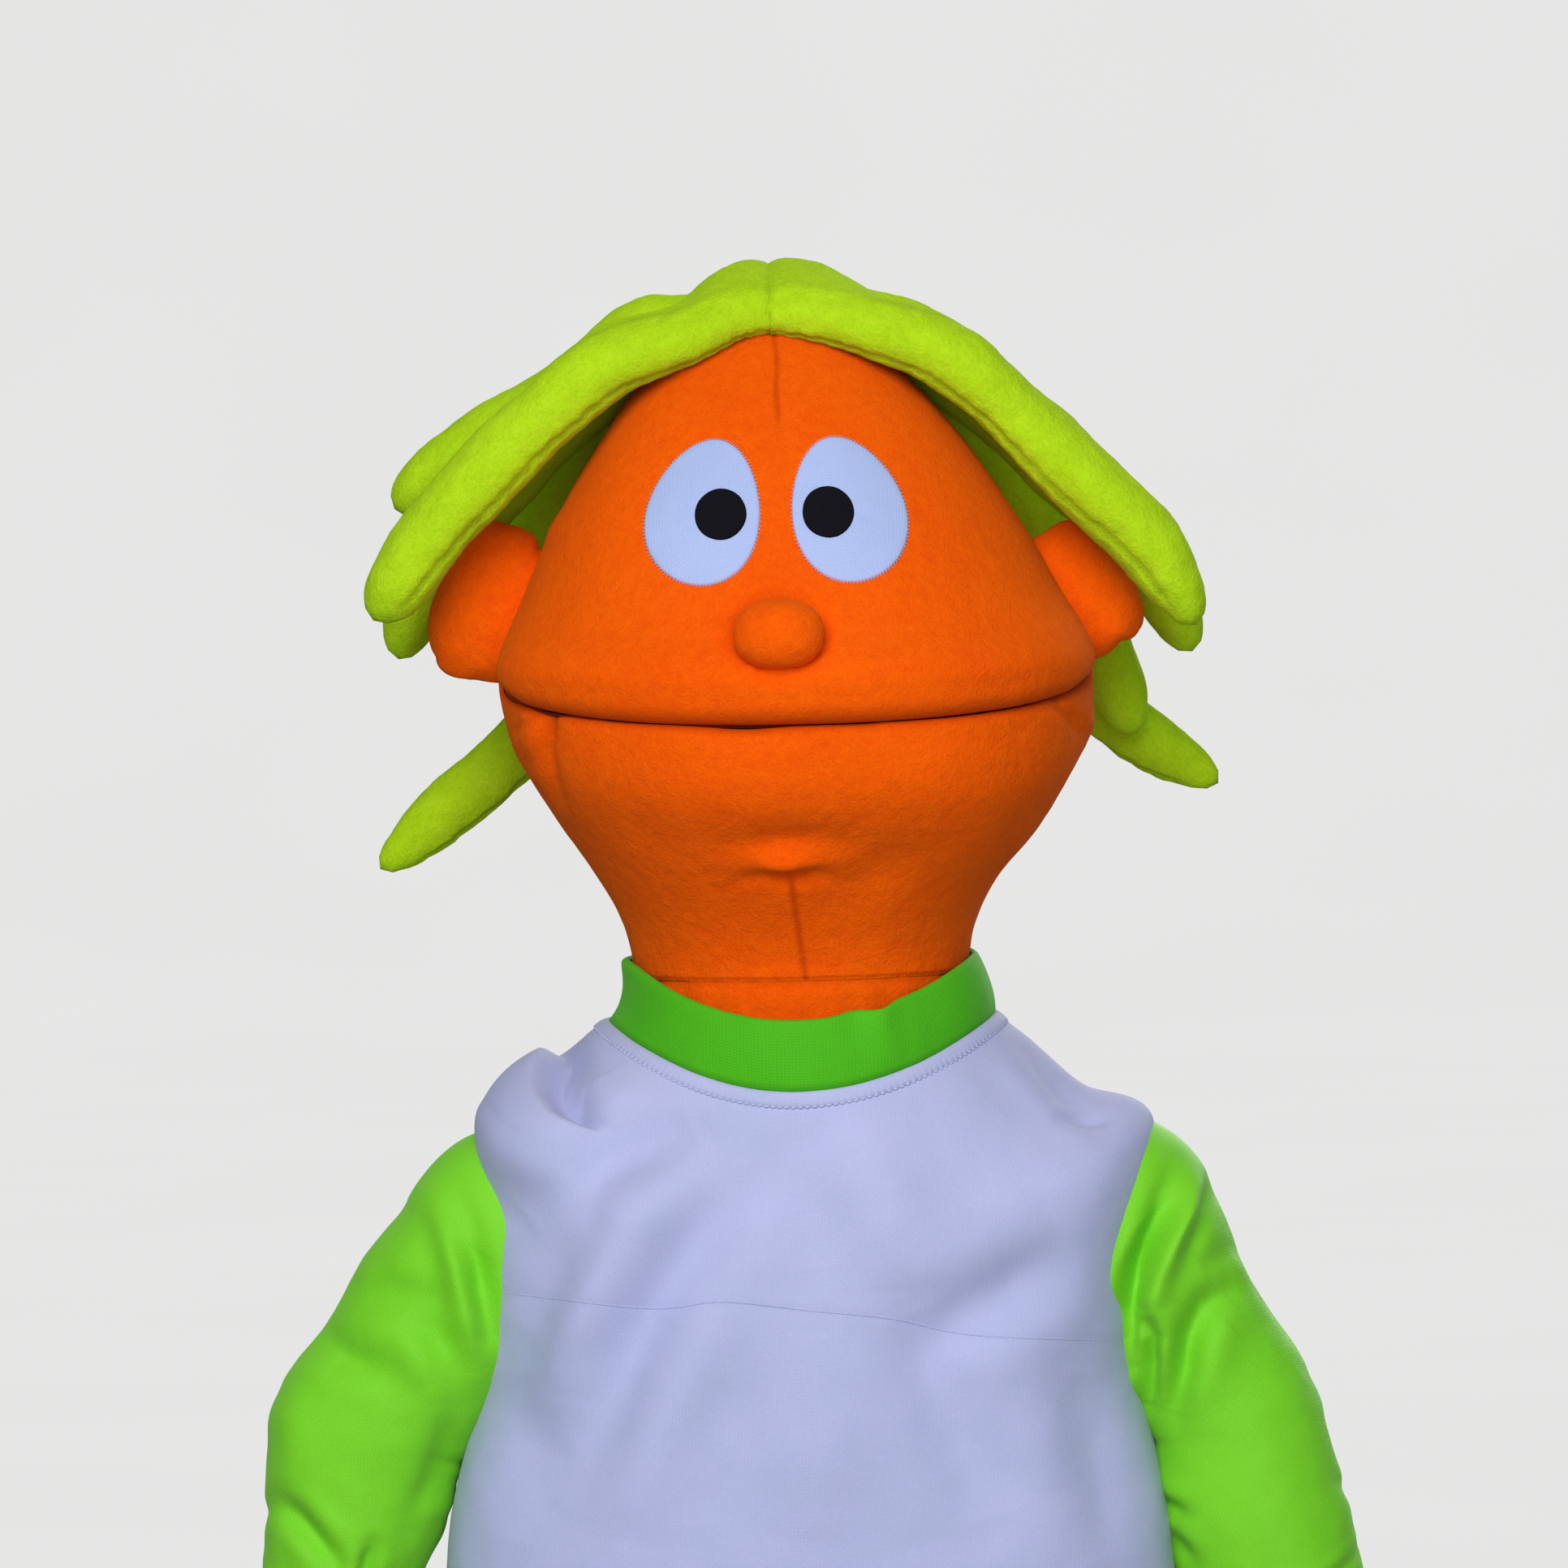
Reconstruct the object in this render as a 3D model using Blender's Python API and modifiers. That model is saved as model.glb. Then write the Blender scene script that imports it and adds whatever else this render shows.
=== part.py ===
"""Half-body hand puppet with a moving mouth, sewn from fleece and knitted cloth.

Metres, +Z up. The puppet faces -Y and its own left side is +X.
The origin is the centre of the hand opening at the shirt hem.
"""
import math

import bmesh
import bpy
from mathutils import Matrix, Vector

# Clearances
GAP = 0.0004
RUN_GAP = 0.0006

# Head
CROWN_Z = 0.625
MOUTH_Z = 0.482
NECK_SEAM_Z = 0.361
HEAD_HALF_WIDTH = 0.118
HEAD_FRONT = 0.119
HEAD_BACK = 0.100
NECK_RADIUS = 0.066
PLAN_POWER = 2.3
FOREHEAD_POWER = 1.1
NAPE_POWER = 0.8
CHIN_POWER = 1.5
SKIN = 0.002
HEAD_SEGMENTS = 28
UPPER_ROWS = 7
TOP_ROW_SHARE = 0.25
LOWER_ROWS = 7

# Mouth
HINGE_Y = 0.025
MOUTH_TILT = math.radians(8)
JAW_ANGLE = math.radians(22.5)
THROAT_ANGLE = math.radians(60)
NECK_RING_HEIGHT = 0.009
HINGE_RADIUS = 0.0025
JAW_SIDE_START = 0.008
LINING = 0.002
PLATE = 0.003
BOARD_CORNER = 0.014
STRAP = 0.0025
FINGER_LOOP = (0.042, 0.026)
FINGER_STRAP_SPAN = (0.058, 0.084)
THUMB_LOOP = (0.020, 0.018)
THUMB_STRAP_SPAN = (0.066, 0.086)

# Heights above the mouth, as shares of the head's height there
EYE_SHARE = 0.434
PUPIL_SHARE = 0.420
NOSE_SHARE = 0.101
EAR_SHARE = 0.189
FOAM_SHARE = 0.440

# Face
EYE_SPACING = 0.028
EYE_HALF_WIDTH = 0.0222
EYE_HALF_HEIGHT = 0.0282
EYE_LEAN = math.radians(10)
EYE_EGG_SHARE = 0.18
EYE_THICK = 0.0012
PUPIL_SPACING = 0.0208
PUPIL_RADIUS = 0.0098
PUPIL_THICK = 0.0010
NOSE_SIZE = (0.0172, 0.0150, 0.0136)
NOSE_OUT = 0.004
EAR_Y = 0.012
EAR_SIZE = (0.026, 0.012, 0.031)
EAR_SINK = 0.0015
EAR_TILT = math.radians(14)

# Hair
STRIP_HALF_WIDTH = 0.0025
STRIP_HEIGHT = 0.012
STRIP_FRONT_SHARE = -0.42
STRIP_BACK_SHARE = 0.93
LOCK_RADIUS = 0.0135
LOCK_ROOT_RADIUS = 0.0080
LOCK_ROOT_RUN = 0.010
LOCK_POINTS = 10
LOCK_CLEAR = 0.0015
# Shares of a lock's length: where it is full, where its end starts to close, and how far it closes
LOCK_FULL_SHARE = 0.42
LOCK_END_SHARE = 0.82
LOCK_CLOSE_SHARE = 0.80
# The front locks of each side lift together; the others lie on the head
LIFTING_LOCKS = 3
# Each lock starts on the parting at a share of the head's depth, then passes points given as shares of the
# head's half-width, its depth and its height above the mouth.
LOCKS = (
    (-0.30, ((0.31, -0.29, 0.95), (0.55, -0.29, 0.85), (0.76, -0.29, 0.68), (0.97, -0.28, 0.49),
             (1.19, -0.27, 0.30), (1.37, -0.25, 0.15))),
    (-0.08, ((0.30, -0.05, 1.00), (0.56, -0.02, 0.90), (0.82, 0.00, 0.74), (1.06, 0.03, 0.60),
             (1.30, 0.05, 0.46))),
    (0.16, ((0.30, 0.20, 0.97), (0.55, 0.28, 0.83), (0.78, 0.36, 0.66), (1.00, 0.43, 0.48),
            (1.20, 0.50, 0.27), (1.31, 0.54, 0.04))),
    (0.37, ((0.27, 0.46, 0.87), (0.50, 0.58, 0.72), (0.72, 0.69, 0.52), (0.92, 0.76, 0.28),
            (1.08, 0.82, 0.00), (1.18, 0.84, -0.22))),
    (0.55, ((0.25, 0.67, 0.72), (0.47, 0.84, 0.54), (0.65, 0.98, 0.27), (0.83, 1.05, -0.02),
            (1.00, 1.10, -0.28), (1.30, 1.00, -0.54))),
    (0.70, ((0.23, 0.86, 0.47), (0.40, 1.02, 0.25), (0.47, 1.14, -0.02), (0.52, 1.18, -0.28),
            (0.53, 1.17, -0.50))),
    (0.88, ((0.13, 1.04, 0.10), (0.15, 1.15, -0.08), (0.17, 1.19, -0.30), (0.16, 1.17, -0.50))),
)

# Neck and collar
NOD_Z = 0.365
NECK_TUBE_TOP = 0.024
NECK_TUBE_INSET = 0.010
NECK_TUBE_RADIUS = NECK_RADIUS - NECK_TUBE_INSET
NECK_TUBE_BOTTOM_Z = 0.296
NECK_TUBE_WALL = 0.003
COLLAR_EASE = 0.0075
COLLAR_FLARE = 0.006
COLLAR_TOP_RADIUS = NECK_RADIUS + COLLAR_EASE
COLLAR_EDGE_RADIUS = COLLAR_TOP_RADIUS + COLLAR_FLARE
COLLAR_EDGE_Z = (0.344, 0.315, 0.345)
COLLAR_HEIGHT = (0.023, 0.027, 0.026)
COLLAR_WALL = 0.0025

# Body lining and shirt
SHOULDER_X = 0.125
SHOULDER_Z = 0.258
SHIRT = 0.002
LINING_WALL = 0.004
LINING_CLEAR = 0.002
LINING_RING_TOP = 0.306
LINING_RING_HEIGHT = 0.013
SHIRT_POWER = 2.4
SHIRT_SEGMENTS = 48
LINING_SEGMENTS = 24
SHOULDER_POINT_OUT = 0.006
SHOULDER_POINT_UP = 0.045
SHOULDER_POINT = (SHOULDER_X + SHOULDER_POINT_OUT, SHOULDER_Z + SHOULDER_POINT_UP)
CHEST_HALF_DEPTH = 0.086
ARMPIT_DROP = 0.053
ARMPIT_Z = SHOULDER_Z - ARMPIT_DROP
ARMPIT_HALF_WIDTH = 0.125
HEM_HALF_WIDTH = 0.148
HEM_BAND = 0.014
CHEST_SEAM_Z = 0.230
SEAM_GAP = 0.0006
FOLD_DEPTH = 0.0045
FOLD_COUNT = 4
FOLD_TWIST = 2.4
FOLD_POWER = 1.5
# The shirt's shoulder line: its depth as a share of the chest's, its crown, and its drop at front and back
SHOULDER_DEPTH_SHARE = 0.97
SHOULDER_CROWN = 0.002
SHOULDER_DROP = 0.026
# Heights at front and back against the side of the same ring: shoulder point, chest and underarm
POINT_DROP = (0.044, 0.024)
CHEST_RISE = (0.026, 0.036)
UNDERARM_DROP = (0.012, 0.008)
CHEST_TUCK = 0.001
SKIRT_SHARES = (0.3, 0.65)
# The lining's depth as shares of the chest's at shoulder, underarm and waist, and its places there
LINING_DEPTH_SHARES = (0.90, 0.96, 0.99)
LINING_UNDERARM_OUT = 0.011
LINING_UNDERARM_DROP = 0.033
LINING_WAIST_IN = 0.010
LINING_WAIST_DROP = 0.017
LINING_HIP_DROP = 0.055
LINING_SHOULDER_POWER = 2.1

# Arms
ARMHOLE_RADIUS = 0.049
SLEEVE_CAP_RADIUS = 0.0482
SLEEVE_OPENING = 0.020
SLEEVE = 0.002
UPPER_ARM_LENGTH = 0.090
UPPER_ARM_SPLAY = math.radians(32)
ELBOW_RADIUS = 0.0385
ELBOW_DOME = ELBOW_RADIUS - SLEEVE - RUN_GAP
ELBOW_FRONT_CUT = 0.038
ELBOW_BACK_CUT = 0.002
FOREARM_LENGTH = 0.095
FOREARM_SPLAY = math.radians(12.5)
CUFF_RADIUS = 0.0335
CUFF_BELOW_WRIST = 0.006
WRIST_RADIUS = 0.022
WRIST_ROLL = 0.006
WRIST_END_SHARE = 0.9
FOREARM_FULL_SHARE = 0.6
KNOT_RADIUS = 0.009
TAB_HALF_WIDTH = 0.004
TAB_HALF_THICK = 0.003
UPPER_ARM_ROOT = 0.004
UPPER_ARM_RADIUS = 0.0245
UPPER_ARM_POWER = 0.8
ARM_SEGMENTS = 14
PALM = (0.014, 0.027, 0.033)
FINGER_RADIUS = 0.0095
FINGER_LENGTH = 0.021
FINGER_FAN = math.radians(22)
THUMB_LENGTH = 0.017
THUMB_FAN = math.radians(70)
# Places on the palm as shares of its size, and the share of a finger that stands out of it
KNUCKLE_SHARE = 1.55
THUMB_SIDE_SHARE = 0.55
THUMB_DROP_SHARE = 0.9
FINGER_OUT_SHARE = 0.75

# Colours, as red, green and blue
ORANGE = (0.93, 0.12, 0.001)
LIME = (0.38, 0.70, 0.03)
GREEN = (0.09, 0.40, 0.012)
SLEEVE_GREEN = (0.17, 0.58, 0.03)
WHITE = (0.62, 0.66, 0.78)
EYE_WHITE = (0.70, 0.74, 0.86)
BLACK = (0.012, 0.012, 0.014)
DARK_RED = (0.30, 0.02, 0.01)
FOAM = (0.75, 0.68, 0.45)
BOARD = (0.18, 0.16, 0.14)

ACROSS = Matrix(((0, 0, 1, 0), (1, 0, 0, 0), (0, 1, 0, 0), (0, 0, 0, 1)))


# Scene set-up

def new_collection(name):
    collection = bpy.data.collections.new(name)
    bpy.context.scene.collection.children.link(collection)
    return collection


for old in list(bpy.data.objects):
    bpy.data.objects.remove(old, do_unlink=True)
PARTS = new_collection("hand_puppet")
CUTTERS = new_collection("cutters")


def cloth(name, colour, roughness=0.9):
    material = bpy.data.materials.new(name)
    material.use_nodes = True
    shader = material.node_tree.nodes["Principled BSDF"]
    shader.inputs["Base Color"].default_value = (*colour, 1)
    shader.inputs["Roughness"].default_value = roughness
    shader.inputs["Metallic"].default_value = 0
    return material


ORANGE_FLEECE = cloth("orange_fleece", ORANGE)
HAIR_FLEECE = cloth("hair_fleece", LIME)
COLLAR_KNIT = cloth("collar_knit", GREEN)
SLEEVE_KNIT = cloth("sleeve_knit", SLEEVE_GREEN)
SHIRT_CLOTH = cloth("shirt_cloth", WHITE, 0.8)
EYE_FELT = cloth("eye_felt", EYE_WHITE)
PUPIL_FELT = cloth("pupil_felt", BLACK, 0.7)
MOUTH_FELT = cloth("mouth_felt", DARK_RED)
HEAD_FOAM = cloth("head_foam", FOAM)
MOUTH_BOARD = cloth("mouth_board", BOARD, 0.6)
TAPE = cloth("tape", BLACK, 0.8)


# Building blocks

def place(name, mesh, material, location=(0, 0, 0), parent=None):
    obj = bpy.data.objects.new(name, mesh)
    mesh.materials.append(material)
    PARTS.objects.link(obj)
    obj.location = location
    if parent:
        obj.parent = parent
        obj.location = Vector(location) - parent.location
    mesh.shade_smooth()
    return obj


def cutter(name, mesh, location=(0, 0, 0)):
    obj = bpy.data.objects.new(name, mesh)
    CUTTERS.objects.link(obj)
    obj.location = location
    obj.hide_render = True
    obj.display_type = "WIRE"
    return obj


def pivot(name, location):
    empty = bpy.data.objects.new(name, None)
    PARTS.objects.link(empty)
    empty.location = location
    return empty


def to_mesh(bm, name):
    mesh = bpy.data.meshes.new(name)
    bm.to_mesh(mesh)
    bm.free()
    return mesh


def loft(rows, cap_first=True):
    """Skin closed rings of points, listed from the top down, each running anticlockwise from above."""
    bm = bmesh.new()
    rings = [[bm.verts.new(point) for point in row] for row in rows]
    for upper, lower in zip(rings, rings[1:]):
        for j in range(len(upper)):
            k = (j + 1) % len(upper)
            bm.faces.new((upper[j], lower[j], lower[k], upper[k]))
    if cap_first:
        bm.faces.new(rings[0])
    bm.normal_update()
    return bm


def solidify(obj, thickness, offset=-1):
    modifier = obj.modifiers.new("wall", "SOLIDIFY")
    modifier.thickness = thickness
    modifier.offset = offset
    return obj


def boolean(obj, operation, tool):
    modifier = obj.modifiers.new(operation.lower(), "BOOLEAN")
    modifier.operation = operation
    modifier.object = tool
    return obj


def extruded(name, outline, half_thickness, matrix):
    """A flat outline made thick both ways, then turned and moved by a matrix."""
    curve = bpy.data.curves.new(name, "CURVE")
    curve.dimensions = "2D"
    curve.fill_mode = "BOTH"
    curve.extrude = half_thickness
    spline = curve.splines.new("POLY")
    spline.points.add(len(outline) - 1)
    for point, (u, v) in zip(spline.points, outline):
        point.co = (u, v, 0, 1)
    spline.use_cyclic_u = True
    return mesh_of_curve(name, curve, matrix)


def mesh_of_curve(name, curve, matrix):
    obj = bpy.data.objects.new(name, curve)
    CUTTERS.objects.link(obj)
    depsgraph = bpy.context.evaluated_depsgraph_get()
    mesh = bpy.data.meshes.new_from_object(obj.evaluated_get(depsgraph))
    bpy.data.objects.remove(obj, do_unlink=True)
    bm = bmesh.new()
    bm.from_mesh(mesh)
    bpy.data.meshes.remove(mesh)
    bmesh.ops.remove_doubles(bm, verts=bm.verts, dist=1e-6)
    bmesh.ops.recalc_face_normals(bm, faces=bm.faces)
    bm.transform(matrix)
    return to_mesh(bm, name)


def ball(name, semi_axes, segments=20, rings=12, matrix=Matrix()):
    bm = bmesh.new()
    bmesh.ops.create_uvsphere(bm, u_segments=segments, v_segments=rings, radius=1)
    bm.transform(matrix @ Matrix.Diagonal((*semi_axes, 1)))
    return to_mesh(bm, name)


def block(name, low, high, matrix=Matrix()):
    bm = bmesh.new()
    bmesh.ops.create_cube(bm, size=1)
    size = Vector(high) - Vector(low)
    middle = (Vector(high) + Vector(low)) / 2
    bm.transform(matrix @ Matrix.Translation(middle) @ Matrix.Diagonal((*size, 1)))
    return to_mesh(bm, name)


def turned(name, profile, material, segments, location, turn, parent):
    """Turn a profile of (radius, height) points about Z; the profile runs down its outer side."""
    mesh = bpy.data.meshes.new(name)
    points = [(radius, 0, height) for radius, height in profile]
    on_axis = profile[0][0] == 0 and profile[-1][0] == 0
    edges = [(i, i + 1) for i in range(len(points) - 1)]
    if not on_axis:
        edges.append((len(points) - 1, 0))
    mesh.from_pydata(points, edges, [])
    obj = place(name, mesh, material, location, parent)
    obj.rotation_euler = (0, turn, 0)
    screw = obj.modifiers.new("turn", "SCREW")
    screw.axis = "Z"
    screw.steps = segments
    screw.render_steps = segments
    screw.use_merge_vertices = True
    screw.merge_threshold = 0.00001
    screw.use_normal_calculate = True
    return obj


def arc(radius, first, last, count, centre=0.0):
    """Points (radius, height) on a circle about the turning axis; angles run from the top."""
    angles = [first + (last - first) * i / count for i in range(count + 1)]
    return [(radius * math.sin(a), centre + radius * math.cos(a)) for a in angles]


def smooth_path(points, count):
    """Even samples of the Catmull-Rom curve through the points, ends included."""
    ends = [points[0] * 2 - points[1], *points, points[-1] * 2 - points[-2]]
    spans = len(points) - 1
    samples = []
    for i in range(count):
        place_on = spans * i / (count - 1)
        k = min(int(place_on), spans - 1)
        t = place_on - k
        p0, p1, p2, p3 = ends[k:k + 4]
        samples.append(0.5 * (2 * p1 + (p2 - p0) * t + (2 * p0 - 5 * p1 + 4 * p2 - p3) * t * t
                              + (3 * p1 - p0 - 3 * p2 + p3) * t ** 3))
    return samples


def super_ring(half_width, front, back, power, segments, height):
    """A rounded oblong ring; height is a function of the point's share along width and depth."""
    ring = []
    for j in range(segments):
        angle = 2 * math.pi * j / segments
        c = math.cos(angle)
        s = math.sin(angle)
        k = (abs(c) ** power + abs(s) ** power) ** (-1 / power)
        depth = back if s > 0 else front
        ring.append(Vector((half_width * k * c, depth * k * s, height(c, s))))
    return ring


# Head form

def ease(share):
    return (1 + math.cos(math.pi * share)) / 2


def above_mouth(share):
    """The height at a share of the way from the mouth to the crown."""
    return MOUTH_Z + (CROWN_Z - MOUTH_Z) * share


def head_section(z):
    """Half-width, front depth and back depth of the head at height z."""
    if z >= MOUTH_Z:
        r = math.sqrt(max(0.0, 1 - (z - MOUTH_Z) / (CROWN_Z - MOUTH_Z)))
        return HEAD_HALF_WIDTH * r, HEAD_FRONT * r ** FOREHEAD_POWER, HEAD_BACK * r ** NAPE_POWER
    share = (MOUTH_Z - z) / (MOUTH_Z - NECK_SEAM_Z)
    return (NECK_RADIUS + (HEAD_HALF_WIDTH - NECK_RADIUS) * ease(share),
            NECK_RADIUS + (HEAD_FRONT - NECK_RADIUS) * ease(share ** CHIN_POWER),
            NECK_RADIUS + (HEAD_BACK - NECK_RADIUS) * ease(share))


def plan_power(z):
    """The head's plan is a rounded oblong that becomes round at the neck."""
    share = min(1.0, max(0.0, (MOUTH_Z - z) / (MOUTH_Z - NECK_SEAM_Z - NECK_RING_HEIGHT)))
    return PLAN_POWER + (2 - PLAN_POWER) * share


def head_heights():
    heights = []
    for i in range(UPPER_ROWS):
        lean = math.pi / 2 * (1 - (i + TOP_ROW_SHARE) / UPPER_ROWS)
        heights.append(above_mouth(math.sin(lean) ** 2))
    ring_top = NECK_SEAM_Z + NECK_RING_HEIGHT
    for i in range(LOWER_ROWS):
        heights.append(MOUTH_Z + (ring_top - MOUTH_Z) * i / (LOWER_ROWS - 1))
    heights.append(NECK_SEAM_Z)
    return heights


def head_rows():
    rows = []
    for z in head_heights():
        width, front, back = head_section(z)
        rows.append(super_ring(width, front, back, plan_power(z), HEAD_SEGMENTS, lambda c, s, z=z: z))
    return rows


def head_solid(name, outset):
    """The whole head as one closed solid, grown by outset along its normals."""
    bm = loft(head_rows())
    moved = [(vert, vert.co + vert.normal * outset) for vert in bm.verts]
    for vert, point in moved:
        vert.co = point
    rim = [edge for edge in bm.edges if edge.is_boundary]
    bmesh.ops.contextual_create(bm, geom=rim)
    bmesh.ops.recalc_face_normals(bm, faces=bm.faces)
    return cutter(name, to_mesh(bm, name))


def on_face(x, z):
    """The point of the head's front at x and z, and the outward normal there."""
    def depth(px, pz):
        width, front, _ = head_section(pz)
        power = plan_power(pz)
        return -front * (1 - min(1.0, abs(px / width)) ** power) ** (1 / power)
    step = 0.0005
    slope_x = (depth(x + step, z) - depth(x - step, z)) / (2 * step)
    slope_z = (depth(x, z + step) - depth(x, z - step)) / (2 * step)
    return Vector((x, depth(x, z), z)), Vector((slope_x, -1, slope_z)).normalized()


def on_parting(share):
    """The scalp's midline at a share of the head's depth, and the outward normal there."""
    def point(s):
        if s < 0:
            r = (-s) ** (1 / FOREHEAD_POWER)
            y = HEAD_FRONT * s
        else:
            r = s ** (1 / NAPE_POWER)
            y = HEAD_BACK * s
        return Vector((0, y, CROWN_Z - (CROWN_Z - MOUTH_Z) * r * r))
    step = 0.01
    along = (point(share + step) - point(share - step)).normalized()
    return point(share), Vector((0, -along.z, along.y))


HINGE = Vector((0, HINGE_Y, MOUTH_Z))
FORWARD = Vector((0, -math.cos(MOUTH_TILT), -math.sin(MOUTH_TILT)))
UPWARD = Vector((0, -math.sin(MOUTH_TILT), math.cos(MOUTH_TILT)))
# The mouth frame: X across, Y forward along the mouth plane, Z up from it
MOUTH_FRAME = Matrix.Translation(HINGE) @ Matrix((
    (-1, 0, 0, 0), (0, FORWARD.y, UPWARD.y, 0), (0, FORWARD.z, UPWARD.z, 0), (0, 0, 0, 1)))
REACH = 2 * (HEAD_HALF_WIDTH + HEAD_FRONT + HEAD_BACK)
RING_TOP_Z = NECK_SEAM_Z + NECK_RING_HEIGHT


def below_hinge(angle, distance, drop=0.0):
    """A point in the YZ plane at an angle below level, forward of the hinge."""
    return HINGE_Y - distance * math.cos(angle), MOUTH_Z - distance * math.sin(angle) - drop


def ray_at_height(angle, z):
    distance = (MOUTH_Z - z) / math.sin(angle)
    return below_hinge(angle, distance)


def make_head(nod, mouth):
    inner = head_solid("head_inner", -(SKIN + GAP))
    outer = head_solid("head_outer", GAP)
    neck_line = ray_at_height(THROAT_ANGLE, RING_TOP_Z)
    opening = extruded("mouth_and_throat", [
        below_hinge(MOUTH_TILT, 0), below_hinge(MOUTH_TILT, REACH), (-REACH, RING_TOP_Z), neck_line],
        REACH, ACROSS)
    shell_piece("head_skin", nod, "DIFFERENCE", opening)

    jaw_wedge = extruded("jaw_wedge", [
        below_hinge(MOUTH_TILT, JAW_SIDE_START, GAP), below_hinge(MOUTH_TILT, REACH, GAP),
        below_hinge(JAW_ANGLE, REACH), below_hinge(JAW_ANGLE, JAW_SIDE_START)], REACH, ACROSS)
    shell_piece("jaw_skin", mouth, "INTERSECT", jaw_wedge)
    throat_wedge = extruded("throat_wedge", [
        below_hinge(JAW_ANGLE, JAW_SIDE_START, GAP), below_hinge(JAW_ANGLE, REACH, GAP),
        (-REACH, RING_TOP_Z + GAP), (neck_line[0] - GAP * 2, RING_TOP_Z + GAP),
        below_hinge(THROAT_ANGLE - math.radians(1), JAW_SIDE_START * 2)], REACH, ACROSS)
    shell_piece("throat_skin", mouth, "INTERSECT", throat_wedge)

    crown = block("head_foam", (-REACH, -REACH, above_mouth(FOAM_SHARE)), (REACH, REACH, REACH * 2))
    foam = place("head_foam", crown, HEAD_FOAM)
    boolean(foam, "INTERSECT", inner)
    make_mouth_boards(inner)
    return outer


def shell_piece(name, parent, operation, tool_mesh):
    """A piece of the head's skin, cut from the whole skin by a tool."""
    piece = place(name, to_mesh(loft(head_rows()), name), ORANGE_FLEECE, parent=parent)
    piece.data.transform(Matrix.Translation(-parent.location))
    piece.location = (0, 0, 0)
    solidify(piece, SKIN)
    boolean(piece, operation, cutter(name + "_tool", tool_mesh))


def make_mouth_boards(inner):
    start = HINGE_RADIUS + GAP
    corner = HEAD_HALF_WIDTH - SKIN - BOARD_CORNER
    # Seen from above, the boards' corners beside the hinge are cut off to clear the cheeks
    plan = [(corner, start), (corner + REACH, start + REACH),
            (-corner - REACH, start + REACH), (-corner, start)]
    layers = (("lining", GAP, LINING, MOUTH_FELT), ("plate", LINING + 2 * GAP, PLATE, MOUTH_BOARD))
    for side, sign in (("upper", 1), ("lower", -1)):
        for kind, base, thick, material in layers:
            name = side + "_mouth_" + kind
            lie = MOUTH_FRAME @ Matrix.Translation((0, 0, sign * (base + thick / 2)))
            boolean(place(name, extruded(name, plan, thick / 2, lie), material), "INTERSECT", inner)
    stack = LINING + PLATE + 3 * GAP
    strap("finger_strap", FINGER_LOOP, FINGER_STRAP_SPAN, stack, 1)
    strap("thumb_strap", THUMB_LOOP, THUMB_STRAP_SPAN, stack, -1)
    half_length = HEAD_HALF_WIDTH - SKIN - HINGE_RADIUS
    bm = bmesh.new()
    bmesh.ops.create_cone(bm, cap_ends=True, segments=12, radius1=HINGE_RADIUS, radius2=HINGE_RADIUS,
                          depth=2 * half_length)
    bm.transform(Matrix.Translation(HINGE) @ Matrix.Rotation(math.pi / 2, 4, "Y"))
    tape = place("mouth_hinge_tape", to_mesh(bm, "mouth_hinge_tape"), TAPE)
    boolean(tape, "INTERSECT", inner)


def strap(name, loop, span, base, sign):
    """An arched band that holds the fingers or the thumb against a mouth plate."""
    steps = 12
    angles = [math.pi * i / steps for i in range(steps + 1)]
    half_width, height = loop
    arch = [((half_width + STRAP) * math.cos(a), sign * (base + (height + STRAP) * math.sin(a)))
            for a in angles]
    arch += [(half_width * math.cos(a), sign * (base + height * math.sin(a))) for a in reversed(angles)]
    middle = (span[0] + span[1]) / 2
    # The outline's own axes become across, up and along in the mouth frame
    turn = Matrix(((-1, 0, 0, 0), (0, 0, 1, middle), (0, 1, 0, 0), (0, 0, 0, 1)))
    mesh = extruded(name, arch, (span[1] - span[0]) / 2, Matrix())
    mesh.transform(MOUTH_FRAME @ turn)
    place(name, mesh, TAPE)


# Face

def draped_disc(name, centre, half_size, lean, lift, thickness, material, egg):
    """A cloth patch that lies on the front of the head."""
    rings = 4
    segments = 18
    rows = []
    for i in range(rings):
        share = (i + 0.4) / (rings - 0.6)
        row = []
        for j in range(segments):
            angle = 2 * math.pi * j / segments
            up = half_size[1] * share * math.sin(angle)
            across = half_size[0] * share * math.cos(angle) * (1 - egg * math.sin(angle))
            x = centre[0] + across * math.cos(lean) - up * math.sin(lean)
            z = centre[1] + across * math.sin(lean) + up * math.cos(lean)
            point, normal = on_face(x, z)
            row.append(point + normal * lift)
        rows.append(row)
    bm = loft(rows)
    if sum(face.normal.y for face in bm.faces) > 0:
        bmesh.ops.reverse_faces(bm, faces=bm.faces)
    return solidify(place(name, to_mesh(bm, name), material), thickness, 1)


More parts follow.
